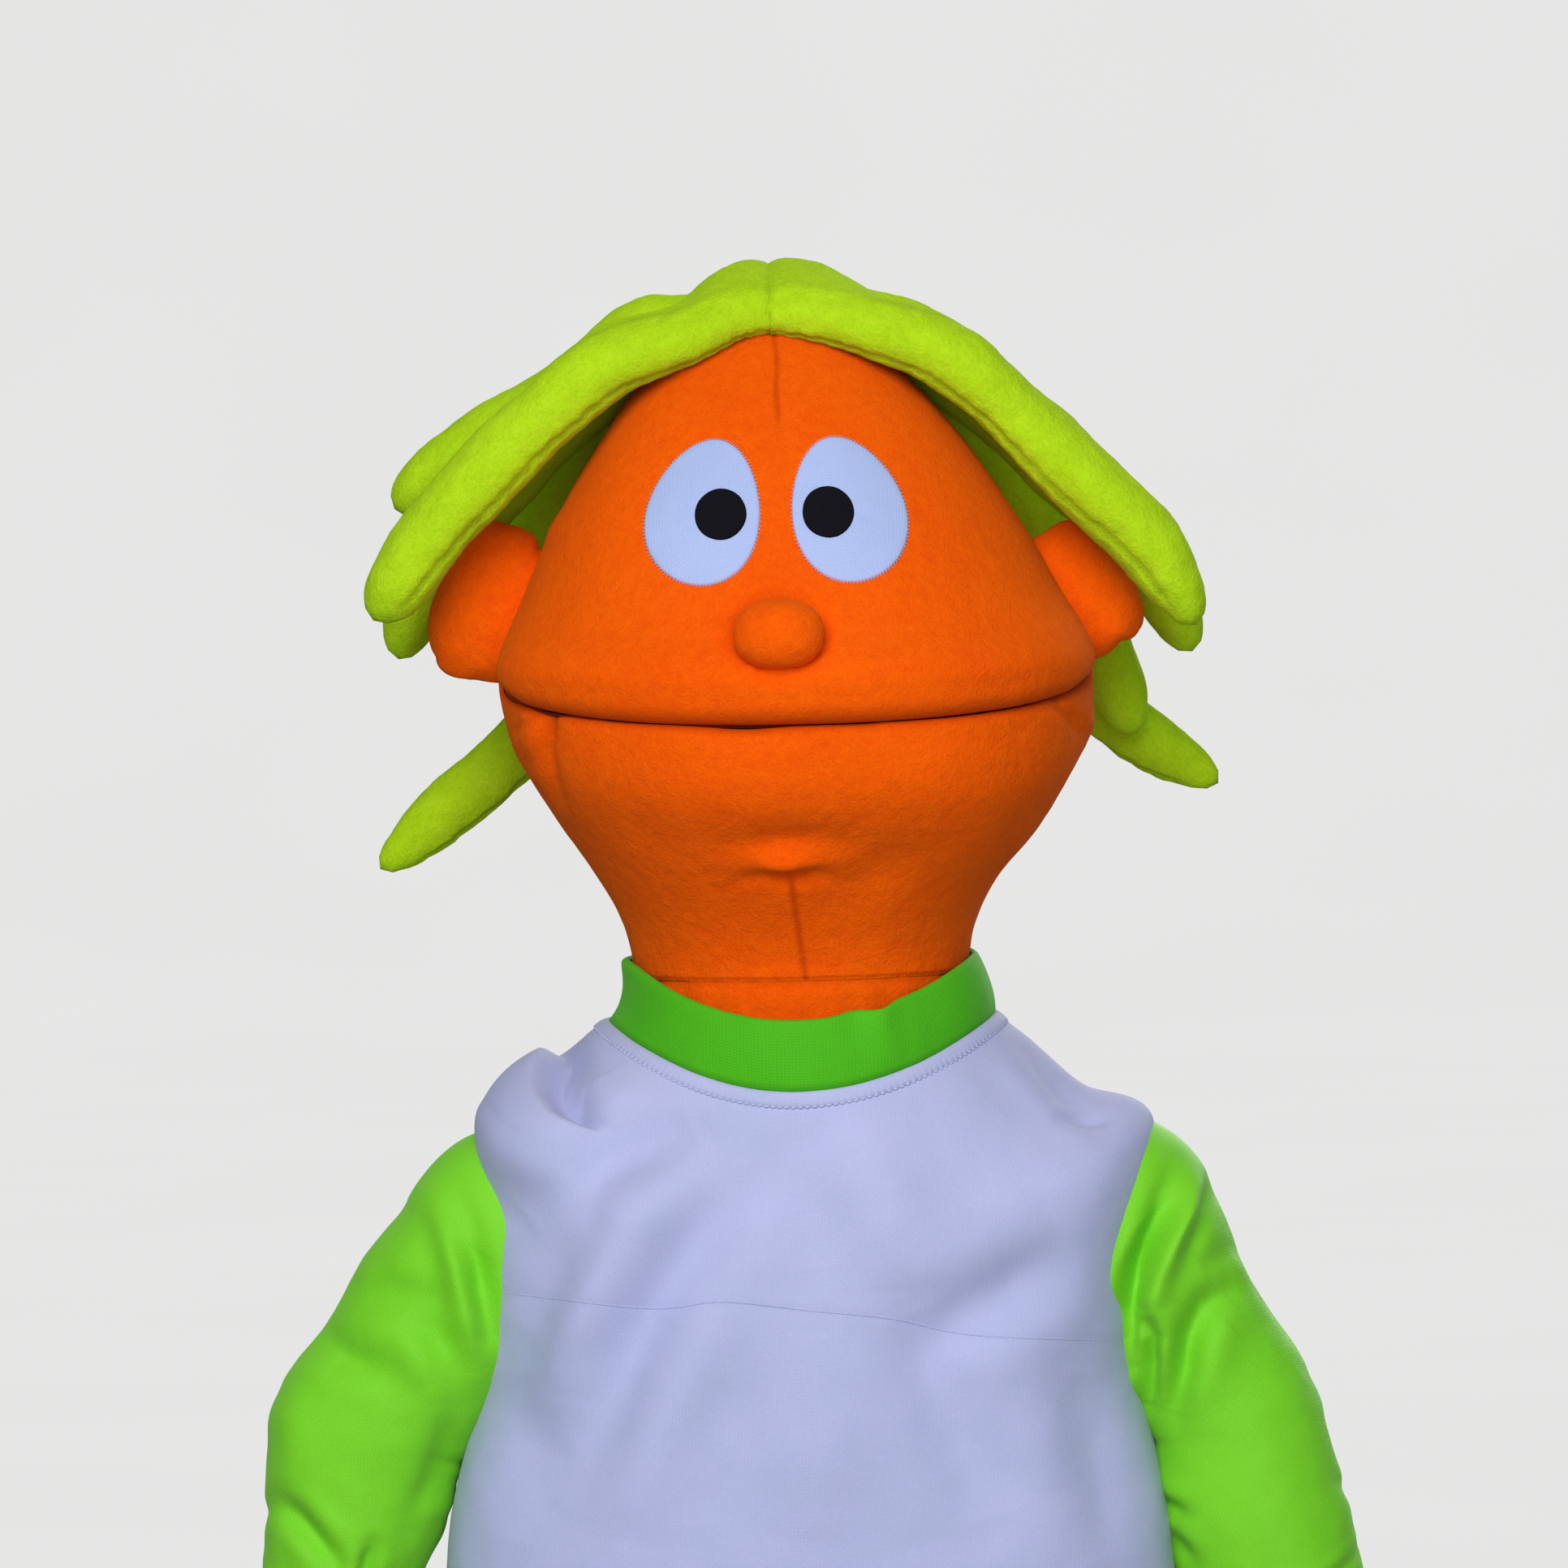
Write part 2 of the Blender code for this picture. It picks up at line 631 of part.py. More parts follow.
def make_face(outer):
    for side, sign in (("left", 1), ("right", -1)):
        eye_at = (sign * EYE_SPACING, above_mouth(EYE_SHARE))
        draped_disc(side + "_eye_white", eye_at, (EYE_HALF_WIDTH, EYE_HALF_HEIGHT),
                    sign * EYE_LEAN, GAP, EYE_THICK, EYE_FELT, EYE_EGG_SHARE)
        pupil_at = (sign * PUPIL_SPACING, above_mouth(PUPIL_SHARE))
        draped_disc(side + "_pupil", pupil_at, (PUPIL_RADIUS, PUPIL_RADIUS),
                    0, 2 * GAP + EYE_THICK, PUPIL_THICK, PUPIL_FELT, 0)
        ear_z = above_mouth(EAR_SHARE)
        ear_x = sign * (head_section(ear_z)[0] + EAR_SINK)
        ear_at = Matrix.Translation((ear_x, EAR_Y, ear_z)) @ Matrix.Rotation(sign * EAR_TILT, 4, "Y")
        ear = place(side + "_ear", ball(side + "_ear", EAR_SIZE, 14, 10, ear_at), ORANGE_FLEECE)
        boolean(ear, "DIFFERENCE", outer)
    point, normal = on_face(0, above_mouth(NOSE_SHARE))
    nose_at = Matrix.Translation(point + normal * NOSE_OUT)
    nose = place("nose", ball("nose", NOSE_SIZE, 16, 10, nose_at), ORANGE_FLEECE)
    boolean(nose, "DIFFERENCE", outer)


# Hair

def lock_radius(share):
    """A stuffed lock swells from its sewn root and rounds off at its end."""
    grown = min(1.0, share / LOCK_FULL_SHARE)
    radius = LOCK_ROOT_RADIUS + (LOCK_RADIUS - LOCK_ROOT_RADIUS) * math.sin(math.pi / 2 * grown)
    tip = max(0.0, (share - LOCK_END_SHARE) / (1 - LOCK_END_SHARE))
    return radius * math.sqrt(1 - LOCK_CLOSE_SHARE * tip * tip)


def head_distance(point):
    """How far a point lies outside the head, about, and the way out."""
    def level(p):
        width, front, back = head_section(min(p.z, MOUTH_Z))
        power = plan_power(p.z)
        slope = NAPE_POWER if p.y > 0 else FOREHEAD_POWER
        deep = abs(p.y) / (back if p.y > 0 else front)
        if p.z > MOUTH_Z:
            deep = deep ** (1 / slope)
        ring = (abs(p.x / width) ** power + deep ** power) ** (2 / power)
        return ring + max(0.0, p.z - MOUTH_Z) / (CROWN_Z - MOUTH_Z) - 1
    step = 0.0005
    rise = Vector([(level(point + axis) - level(point - axis)) / (2 * step)
                   for axis in (Vector((step, 0, 0)), Vector((0, step, 0)), Vector((0, 0, step)))])
    return level(point) / rise.length, rise.normalized()


def clear_of_head(point, radius):
    """Move a lock's centre out until its surface clears the head."""
    for _ in range(6):
        distance, away = head_distance(point)
        if distance < radius + LOCK_CLEAR:
            point = point + away * (radius + LOCK_CLEAR - distance)
    return point


def make_lock(name, sign, root_share, points, parent):
    scalp, normal = on_parting(root_share)
    root = scalp + normal * (LOCK_ROOT_RADIUS + 2 * GAP)
    root.x = STRIP_HALF_WIDTH + GAP
    route = [root + Vector((LOCK_ROOT_RUN, 0, 0))]
    for across, deep, high in points:
        depth = HEAD_BACK if deep > 0 else HEAD_FRONT
        route.append(Vector((across * HEAD_HALF_WIDTH, deep * depth, above_mouth(high))))
    curve = bpy.data.curves.new(name, "CURVE")
    curve.dimensions = "3D"
    curve.bevel_depth = 1
    curve.bevel_resolution = 1
    curve.use_fill_caps = True
    spline = curve.splines.new("POLY")
    samples = [root, *smooth_path(route, LOCK_POINTS - 1)]
    spline.points.add(LOCK_POINTS - 1)
    origin = parent.location if parent else Vector()
    for i, (point, sample) in enumerate(zip(spline.points, samples)):
        radius = lock_radius(i / (LOCK_POINTS - 1))
        if i > 1:
            sample = clear_of_head(sample, radius)
        point.co = (sign * sample.x - origin.x, sample.y - origin.y, sample.z - origin.z, 1)
        point.radius = radius
    curve.materials.append(HAIR_FLEECE)
    obj = bpy.data.objects.new(name, curve)
    PARTS.objects.link(obj)
    if parent:
        obj.parent = parent
    weld = obj.modifiers.new("close_caps", "WELD")
    weld.merge_threshold = 0.00001
    return obj


def make_hair(pivots):
    low = []
    high = []
    steps = 14
    for i in range(steps + 1):
        scalp, normal = on_parting(STRIP_FRONT_SHARE + (STRIP_BACK_SHARE - STRIP_FRONT_SHARE) * i / steps)
        low.append(scalp + normal * GAP)
        high.append(scalp + normal * (GAP + STRIP_HEIGHT))
    outline = [(p.y, p.z) for p in low] + [(p.y, p.z) for p in reversed(high)]
    place("hair_part_strip", extruded("hair_part_strip", outline, STRIP_HALF_WIDTH, ACROSS), HAIR_FLEECE)
    for side, sign in (("left", 1), ("right", -1)):
        for number, (root_share, points) in enumerate(LOCKS, 1):
            lifted = number <= LIFTING_LOCKS
            make_lock(f"{side}_lock_{number}", sign, root_share, points, pivots[side] if lifted else None)


# Neck, lining and shirt

def make_neck(turn):
    ball_radius = NECK_RADIUS - SKIN - RUN_GAP - GAP
    top = math.acos(NECK_TUBE_TOP / ball_radius)
    bottom = math.pi - math.asin(NECK_TUBE_RADIUS / ball_radius)
    outside = arc(ball_radius, top, bottom, 6)
    outside.append((NECK_TUBE_RADIUS, NECK_TUBE_BOTTOM_Z - NOD_Z))
    inside = [(radius - NECK_TUBE_WALL, height) for radius, height in reversed(outside)]
    turned("neck_tube", outside + inside, ORANGE_FLEECE, 24, turn.location, 0, turn)


def skirt_half_width(z):
    """The shirt's half-width below the arms, where it widens evenly to the hem."""
    share = (ARMPIT_Z - z) / (ARMPIT_Z - HEM_BAND)
    return ARMPIT_HALF_WIDTH + (HEM_HALF_WIDTH - ARMPIT_HALF_WIDTH) * share


def shirt_stations():
    """Rings from neck to hem: half-width, front and back depth, and heights at side, front and back."""
    edge = COLLAR_EDGE_RADIUS
    point_x, point_z = SHOULDER_POINT
    side, front, back = COLLAR_EDGE_Z
    depth = CHEST_HALF_DEPTH
    mid = (edge + point_x) / 2
    mid_depth = depth * SHOULDER_DEPTH_SHARE
    under = ARMPIT_Z
    stations = [
        (edge, edge, edge, side, front, back),
        (mid, mid_depth, mid_depth, (side + point_z) / 2 + SHOULDER_CROWN,
         front - SHOULDER_DROP, back - SHOULDER_DROP),
        (point_x, depth, depth, point_z, point_z - POINT_DROP[0], point_z - POINT_DROP[1]),
        (point_x - CHEST_TUCK, depth, depth, (point_z + under) / 2,
         under + CHEST_RISE[0], under + CHEST_RISE[1]),
        (ARMPIT_HALF_WIDTH, depth, depth, under, under - UNDERARM_DROP[0], under - UNDERARM_DROP[1]),
    ]
    for share in SKIRT_SHARES:
        z = under + (HEM_BAND - under) * share
        stations.append((skirt_half_width(z), depth, depth, z, z, z))
    stations.append((HEM_HALF_WIDTH, depth, depth, HEM_BAND, HEM_BAND, HEM_BAND))
    stations.append((HEM_HALF_WIDTH, depth, depth, 0.0, 0.0, 0.0))
    return stations


def fold(c, s, z):
    """Outward swell of the cloth's hanging folds, nothing at the hem, the neck or the side seams."""
    top = COLLAR_EDGE_Z[1]
    share = min(1.0, max(0.0, (z - HEM_BAND) / (top - HEM_BAND)))
    wave = math.sin(FOLD_COUNT * math.atan2(c, abs(s)) + FOLD_TWIST * share) ** 2
    return FOLD_DEPTH * wave * math.sin(math.pi * share) * abs(s) ** FOLD_POWER


def shirt_rows():
    *hanging, hem = [Vector(station) for station in shirt_stations()]
    per_span = 2
    stations = smooth_path(hanging, per_span * (len(hanging) - 1) + 1) + [hem]
    return [shirt_ring(station) for station in stations]


def shirt_ring(station):
    width, front, back, z_side, z_front, z_back = station

    def height(c, s):
        end = z_front if s < 0 else z_back
        return z_side + (end - z_side) * s * s

    ring = super_ring(width, front, back, SHIRT_POWER, SHIRT_SEGMENTS, height)
    for j, point in enumerate(ring):
        angle = 2 * math.pi * j / SHIRT_SEGMENTS
        swell = fold(math.cos(angle), math.sin(angle), point.z)
        point.y += math.copysign(swell, math.sin(angle))
    return ring


def trim(bm, point, normal):
    """Cut an open surface by a plane and drop the side the normal points to."""
    geometry = bm.verts[:] + bm.edges[:] + bm.faces[:]
    bmesh.ops.bisect_plane(bm, geom=geometry, plane_co=point, plane_no=normal, clear_outer=True)
    bm.normal_update()


def make_shirt():
    holes = [armhole(side, sign) for side, sign in (("left", 1), ("right", -1))]
    half = SEAM_GAP / 2
    panels = {
        "shirt_yoke": [((0, -half, 0), (0, 1, 0)), ((0, 0, CHEST_SEAM_Z + half), (0, 0, -1))],
        "shirt_front": [((0, -half, 0), (0, 1, 0)), ((0, 0, CHEST_SEAM_Z - half), (0, 0, 1))],
        "shirt_back": [((0, half, 0), (0, -1, 0))],
    }
    for name, planes in panels.items():
        bm = loft(shirt_rows(), cap_first=False)
        for point, normal in planes:
            trim(bm, point, normal)
        panel = solidify(place(name, to_mesh(bm, name), SHIRT_CLOTH), SHIRT)
        for hole in holes:
            boolean(panel, "DIFFERENCE", hole)


def armhole(side, sign):
    """A cutter as large as the sleeve's upper part and a little more."""
    slack = ARMHOLE_RADIUS - SLEEVE_CAP_RADIUS
    lean = sleeve_lean()
    profile = arc(ARMHOLE_RADIUS, 0, math.pi / 2 - lean, 8)
    profile += [(ELBOW_RADIUS + slack, -UPPER_ARM_LENGTH), (0, -UPPER_ARM_LENGTH)]
    obj = turned(side + "_armhole", profile, SHIRT_CLOTH, 28, (sign * SHOULDER_X, 0, SHOULDER_Z),
                 -sign * UPPER_ARM_SPLAY, None)
    PARTS.objects.unlink(obj)
    CUTTERS.objects.link(obj)
    obj.hide_render = True
    obj.display_type = "WIRE"
    return obj


def make_collar():
    top_shares = zip(COLLAR_EDGE_Z, COLLAR_HEIGHT)
    top_side, top_front, top_back = (edge + height for edge, height in top_shares)
    lift = GAP + SHIRT / 4
    edge = COLLAR_EDGE_RADIUS
    low = (edge, edge, edge, *(z + lift for z in COLLAR_EDGE_Z))
    high = (COLLAR_TOP_RADIUS, edge, edge, top_side, top_front, top_back)
    rows = []
    steps = 3
    for i in range(steps + 1):
        share = i / steps
        station = [h + (l - h) * share for h, l in zip(high, low)]
        width, front, back, side, z_front, z_back = station

        def height(c, s, side=side, z_front=z_front, z_back=z_back):
            return side + ((z_front if s < 0 else z_back) - side) * s * s
        rows.append(super_ring(width, front, back, 2, LINING_SEGMENTS, height))
    solidify(place("collar", to_mesh(loft(rows, cap_first=False), "collar"), COLLAR_KNIT), COLLAR_WALL)


def lining_side():
    """The lining's half-width beside the arms, just clear of the sleeve caps."""
    return SHOULDER_X - ARMHOLE_RADIUS - LINING_CLEAR


def make_lining():
    """The fleece body bag: a tube from the hem that narrows past the arms to the neck ring."""
    ring = NECK_TUBE_RADIUS + RUN_GAP + LINING_WALL
    inset = SHIRT + GAP
    shoulder = lining_side()
    depth = CHEST_HALF_DEPTH - inset
    hip = ARMPIT_Z - LINING_HIP_DROP
    stations = [
        (ring, ring, LINING_RING_TOP, 2),
        (ring, ring, LINING_RING_TOP - LINING_RING_HEIGHT, 2),
        ((ring + shoulder) / 2, (ring + depth) / 2, (LINING_RING_TOP + SHOULDER_Z) / 2,
         LINING_SHOULDER_POWER),
        (shoulder, depth * LINING_DEPTH_SHARES[0], SHOULDER_Z + 2 * TAB_HALF_THICK, SHIRT_POWER),
        (shoulder, depth * LINING_DEPTH_SHARES[0], SHOULDER_Z - 2 * TAB_HALF_THICK, SHIRT_POWER),
        (shoulder + LINING_UNDERARM_OUT, depth * LINING_DEPTH_SHARES[1],
         SHOULDER_Z - LINING_UNDERARM_DROP, SHIRT_POWER),
        (ARMPIT_HALF_WIDTH - LINING_WAIST_IN, depth * LINING_DEPTH_SHARES[2],
         ARMPIT_Z - LINING_WAIST_DROP, SHIRT_POWER),
        (skirt_half_width(hip) - inset, depth, hip, SHIRT_POWER),
        (HEM_HALF_WIDTH - inset, depth, HEM_BAND, SHIRT_POWER),
        (HEM_HALF_WIDTH - inset, depth, 0.0, SHIRT_POWER),
    ]
    rows = [super_ring(width, deep, deep, power, LINING_SEGMENTS, lambda c, s, z=z: z)
            for width, deep, z, power in stations]
    bag = to_mesh(loft(rows, cap_first=False), "body_lining")
    solidify(place("body_lining", bag, ORANGE_FLEECE), LINING_WALL)


# Arms

def make_arm(side, sign, shoulder, knot, elbow):
    """The arm hangs on a knot that turns in the end of a tab sewn to the lining."""
    at = shoulder.location
    place(side + "_shoulder_knot", ball(side + "_shoulder_knot", (KNOT_RADIUS,) * 3, 12, 8), ORANGE_FLEECE,
          at, knot)
    socket = cutter(side + "_socket", ball(side + "_socket", (KNOT_RADIUS + RUN_GAP,) * 3, 12, 8), at)
    ends = sorted((0.0, sign * (lining_side() + GAP - SHOULDER_X)))
    strip = block(side + "_arm_tab", (ends[0], -TAB_HALF_WIDTH, -TAB_HALF_THICK),
                  (ends[1], TAB_HALF_WIDTH, TAB_HALF_THICK))
    boolean(place(side + "_arm_tab", strip, ORANGE_FLEECE, at), "DIFFERENCE", socket)

    turn = -sign * UPPER_ARM_SPLAY
    make_upper_arm(side, shoulder, turn, socket)
    make_upper_sleeve(side, sign, shoulder, turn)
    make_forearm(side, sign, elbow)


def make_upper_arm(side, shoulder, turn, socket):
    end = UPPER_ARM_LENGTH - ELBOW_DOME - GAP
    length = end - UPPER_ARM_ROOT
    steps = 8
    profile = [(0, -UPPER_ARM_ROOT)]
    for i in range(1, steps):
        share = i / steps
        swell = math.sqrt(math.sin(math.pi * share ** UPPER_ARM_POWER))
        profile.append((UPPER_ARM_RADIUS * swell, -UPPER_ARM_ROOT - length * share))
    profile.append((0, -end))
    arm = turned(side + "_upper_arm", profile, ORANGE_FLEECE, ARM_SEGMENTS, shoulder.location, turn, shoulder)
    boolean(arm, "DIFFERENCE", socket)


def sleeve_lean():
    """The slope of the sleeve's side against its axis."""
    return math.asin((SLEEVE_CAP_RADIUS - ELBOW_RADIUS) / UPPER_ARM_LENGTH)


def make_upper_sleeve(side, sign, shoulder, turn):
    lean = sleeve_lean()
    outside = arc(SLEEVE_CAP_RADIUS, 0, math.pi / 2 - lean, 6)
    outside.append((ELBOW_RADIUS, -UPPER_ARM_LENGTH))
    inside = [(ELBOW_RADIUS - SLEEVE, -UPPER_ARM_LENGTH)]
    inside += list(reversed(arc(SLEEVE_CAP_RADIUS - SLEEVE, 0, math.pi / 2 - lean, 6)))
    sleeve = turned(side + "_sleeve_upper", outside + inside, SLEEVE_KNIT, ARM_SEGMENTS, shoulder.location,
                    turn, shoulder)
    reach = 4 * SLEEVE_CAP_RADIUS
    limits = sorted((-sign * SLEEVE_OPENING, -sign * reach))
    body_side = cutter(side + "_body_side", block(side + "_body_side", (limits[0], -reach, -reach),
                                                  (limits[1], reach, reach)), shoulder.location)
    boolean(sleeve, "DIFFERENCE", body_side)
    tilt = math.atan2(ELBOW_FRONT_CUT - ELBOW_BACK_CUT, 2 * ELBOW_RADIUS)
    middle = UPPER_ARM_LENGTH - (ELBOW_FRONT_CUT + ELBOW_BACK_CUT) / 2
    at = (Matrix.Rotation(turn, 4, "Y") @ Matrix.Translation((0, 0, -middle))
          @ Matrix.Rotation(-tilt, 4, "X"))
    below = cutter(side + "_elbow_side", block(side + "_elbow_side", (-reach, -reach, -reach),
                                               (reach, reach, 0), at), shoulder.location)
    boolean(sleeve, "DIFFERENCE", below)


def make_forearm(side, sign, elbow):
    turn = -sign * FOREARM_SPLAY
    cuff = FOREARM_LENGTH + CUFF_BELOW_WRIST
    outside = arc(ELBOW_DOME, 0, math.pi / 2, 5) + [(CUFF_RADIUS, -cuff)]
    inside = [(CUFF_RADIUS - SLEEVE, -cuff)]
    inside += list(reversed(arc(ELBOW_DOME - SLEEVE, 0, math.pi / 2, 5)))
    turned(side + "_sleeve_lower", outside + inside, SLEEVE_KNIT, ARM_SEGMENTS, elbow.location, turn, elbow)

    filling = arc(ELBOW_DOME - SLEEVE - GAP, 0, math.pi / 2, 5)
    filling += [(CUFF_RADIUS - SLEEVE - GAP, -FOREARM_FULL_SHARE * FOREARM_LENGTH),
                (WRIST_RADIUS, -FOREARM_LENGTH + WRIST_ROLL),
                (WRIST_RADIUS * WRIST_END_SHARE, -FOREARM_LENGTH), (0, -FOREARM_LENGTH)]
    turned(side + "_forearm", filling, ORANGE_FLEECE, ARM_SEGMENTS, elbow.location, turn, elbow)
    make_hand(side, sign, elbow, turn)


def make_hand(side, sign, elbow, turn):
    name = side + "_hand"
    top = -FOREARM_LENGTH - GAP
    lie = Matrix.Rotation(turn, 4, "Y")
    hand = place(name, ball(name, PALM, 12, 8, lie @ Matrix.Translation((0, 0, top - PALM[2]))),
                 ORANGE_FLEECE, elbow.location, elbow)
    knuckle = Vector((0, 0, top - KNUCKLE_SHARE * PALM[2]))
    fingers = [(angle, FINGER_LENGTH, knuckle) for angle in (-FINGER_FAN, 0.0, FINGER_FAN)]
    thumb_root = Vector((0, -THUMB_SIDE_SHARE * PALM[1], top - THUMB_DROP_SHARE * PALM[2]))
    fingers.append((-THUMB_FAN, THUMB_LENGTH, thumb_root))
    for number, (angle, length, start) in enumerate(fingers, 1):
        swing = Matrix.Translation(start) @ Matrix.Rotation(angle, 4, "X")
        at = lie @ swing @ Matrix.Translation((0, 0, -length * FINGER_OUT_SHARE))
        size = (FINGER_RADIUS, FINGER_RADIUS, length)
        tip = cutter(f"{name}_{number}", ball(f"{name}_{number}", size, 8, 6, at), elbow.location)
        boolean(hand, "UNION", tip)


# The puppet

def make_puppet():
    turn = pivot("head_turn", (0, 0, NOD_Z))
    nod = pivot("head_nod", (0, 0, NOD_Z))
    mouth = pivot("mouth", HINGE)
    parting = on_parting(0)[0].z + 2 * LOCK_ROOT_RADIUS
    hair_pivots = {side: pivot(side + "_hair", (sign * STRIP_HALF_WIDTH, 0, parting))
                   for side, sign in (("left", 1), ("right", -1))}
    outer = make_head(nod, mouth)
    make_face(outer)
    make_hair(hair_pivots)
    make_neck(turn)
    make_shirt()
    make_collar()
    make_lining()
    for side, sign in (("left", 1), ("right", -1)):
        at = Vector((sign * SHOULDER_X, 0, SHOULDER_Z))
        along = Vector((sign * math.sin(UPPER_ARM_SPLAY), 0, -math.cos(UPPER_ARM_SPLAY)))
        make_arm(side, sign, pivot(side + "_shoulder", at), pivot(side + "_knot", at),
                 pivot(side + "_elbow", at + along * UPPER_ARM_LENGTH))


make_puppet()
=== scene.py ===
import math

import bmesh
import bpy
import numpy as np
from mathutils import Euler, Matrix, Vector
from mathutils.bvhtree import BVHTree


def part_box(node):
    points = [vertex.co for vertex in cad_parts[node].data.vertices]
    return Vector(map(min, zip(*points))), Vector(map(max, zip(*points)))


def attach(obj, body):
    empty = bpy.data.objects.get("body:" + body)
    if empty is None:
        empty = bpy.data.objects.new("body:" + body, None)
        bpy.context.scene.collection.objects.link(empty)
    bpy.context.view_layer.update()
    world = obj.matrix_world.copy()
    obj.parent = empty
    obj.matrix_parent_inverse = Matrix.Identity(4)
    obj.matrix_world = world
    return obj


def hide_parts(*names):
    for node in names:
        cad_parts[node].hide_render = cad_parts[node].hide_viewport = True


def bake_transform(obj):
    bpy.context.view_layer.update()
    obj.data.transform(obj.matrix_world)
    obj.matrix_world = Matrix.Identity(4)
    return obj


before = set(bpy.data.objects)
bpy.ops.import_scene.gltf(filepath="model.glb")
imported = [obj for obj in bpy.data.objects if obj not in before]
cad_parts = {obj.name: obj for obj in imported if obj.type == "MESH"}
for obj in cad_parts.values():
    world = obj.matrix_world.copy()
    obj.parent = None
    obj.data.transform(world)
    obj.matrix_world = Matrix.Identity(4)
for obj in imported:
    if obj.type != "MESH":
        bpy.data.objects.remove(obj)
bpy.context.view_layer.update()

SIDES = (("left", 1), ("right", -1))
UP = np.array((0.0, 0.0, 1.0))

# Camera: 5 m away, looking down and rolled a little; a pixel of the 1932-pixel frame is 0.32 mm wide at y = 0
FRAME_SIZE = 1932
PIXEL = 0.00032
EYE_DISTANCE = 5.0
EYE_DOWN = math.radians(1.5)
EYE_ROLL = math.radians(1.3)
CENTRE_PX = 973
AIM = np.array(((FRAME_SIZE / 2 - CENTRE_PX) * PIXEL, 0.0, 0.436))
AHEAD = np.array((0.0, math.cos(EYE_DOWN), -math.sin(EYE_DOWN)))
UPWARD = np.array((0.0, math.sin(EYE_DOWN), math.cos(EYE_DOWN)))
SENSOR = 36.0

# Head form, as in the solids
CROWN_Z, MOUTH_Z, NECK_SEAM_Z = 0.625, 0.482, 0.361
HEAD_TALL = CROWN_Z - MOUTH_Z
HEAD_WIDE, HEAD_FRONT, HEAD_BACK, NECK_RADIUS = 0.118, 0.119, 0.100, 0.066
FRONT_POWER, BACK_POWER = 1.1, 0.8
HINGE_Y = 0.025
MOUTH_TILT = math.radians(8)
MOUTH_CORNER = math.radians(102)
SHOULDER = np.array((0.125, 0.0, 0.258))
ELBOW = np.array((0.172693, 0.0, 0.181676))


# Numbers

def ease(x, low, high):
    t = np.clip((np.asarray(x, float) - low) / (high - low), 0, 1)
    return t * t * (3 - 2 * t)


def bell(x, width):
    return np.exp(-np.square(np.asarray(x) / width))


HASH = np.array((374761393, 668265263, 1440662683))
HASH_SEED, HASH_MIX, HASH_BITS = 974634777, 1274126177, 0xFFFFFFFF


def noise(points, size, seed):
    """Smooth value noise from -1 to 1 with cells of the given size."""
    q = np.asarray(points, float) / size
    cell = np.floor(q).astype(np.int64)
    f = q - cell
    f = f * f * (3 - 2 * f)
    total = np.zeros(q.shape[:-1])
    for corner in np.ndindex(2, 2, 2):
        h = ((cell + corner) @ HASH + seed * HASH_SEED) & HASH_BITS
        h = ((h ^ (h >> 13)) * HASH_MIX) & HASH_BITS
        h = ((h ^ (h >> 16)) & 0xFFFF) / 32767.5 - 1.0
        total += np.prod(np.where(np.array(corner) == 1, f, 1 - f), axis=-1) * h
    return total


def layers(points, *parts):
    """A sum of noises, each given as its height, its size and its seed."""
    return sum(height * noise(points, size, seed) for height, size, seed in parts)


def catmull(points, t):
    """Values on a smooth line through points, at places t counted in points from the first."""
    p = np.asarray(points, float)
    e = np.concatenate([2 * p[:1] - p[1:2], p, 2 * p[-1:] - p[-2:-1]])
    t = np.asarray(t, float)
    k = np.clip(np.floor(t).astype(int), 0, len(p) - 2)
    f = (t - k).reshape(-1, *[1] * (p.ndim - 1))
    a, b, c, d = e[k], e[k + 1], e[k + 2], e[k + 3]
    return 0.5 * (2 * b + (c - a) * f + (2 * a - 5 * b + 4 * c - d) * f**2 + (3 * b - a - 3 * c + d) * f**3)


def spline(points, count):
    """A smooth line through points, sampled evenly along its length."""
    fine = catmull(points, np.linspace(0, len(points) - 1, 24 * (len(points) - 1) + 1))
    s = np.r_[0, np.cumsum(np.linalg.norm(np.diff(fine, axis=0), axis=1))]
    at = np.linspace(0, s[-1], count)
    return np.stack([np.interp(at, s, fine[:, k]) for k in range(fine.shape[1])], 1)


def unit(v):
    return v / np.maximum(np.linalg.norm(v, axis=-1, keepdims=True), 1e-9)


def grid_normals(grid, wrap):
    """Normals of a grid of points, rows by columns, turned away from its middle."""
    if wrap:
        across = np.roll(grid, -1, 1) - np.roll(grid, 1, 1)
    else:
        across = np.gradient(grid, axis=1)
    n = unit(np.cross(across, np.gradient(grid, axis=0)))
    out = (n * (grid - grid.mean((0, 1)))).sum(-1).mean()
    return n if out > 0 else -n


def quads(rows, cols, wrap=False, base=0):
    i = np.arange(rows - 1)[:, None]
    j = np.arange(cols if wrap else cols - 1)[None, :]
    a = i * cols + j
    b = i * cols + (j + 1) % cols
    return (np.stack([a, b, b + cols, a + cols], -1).reshape(-1, 4) + base).tolist()


def around(count, start=-math.pi):
    """Angles evenly round a ring."""
    return np.linspace(start, start + 2 * math.pi, count, endpoint=False)


def oval(angle, wide, deep, power):
    """The radius of a squarish oval at an angle from straight ahead."""
    s, c = np.abs(np.sin(angle)), np.abs(np.cos(angle))
    return ((s / wide)**power + (c / deep)**power)**(-1 / power)


def ring_points(radius, angle, z):
    """Points at a radius and an angle from straight ahead, towards +X, and a height."""
    return np.stack([radius * np.sin(angle), -radius * np.cos(angle), z + 0 * radius], -1)


def outwards(angle, squeeze=1.0):
    """Level directions away from the middle at angles from straight ahead."""
    return unit(np.stack([np.sin(angle) / squeeze, -np.cos(angle), 0 * angle], -1))


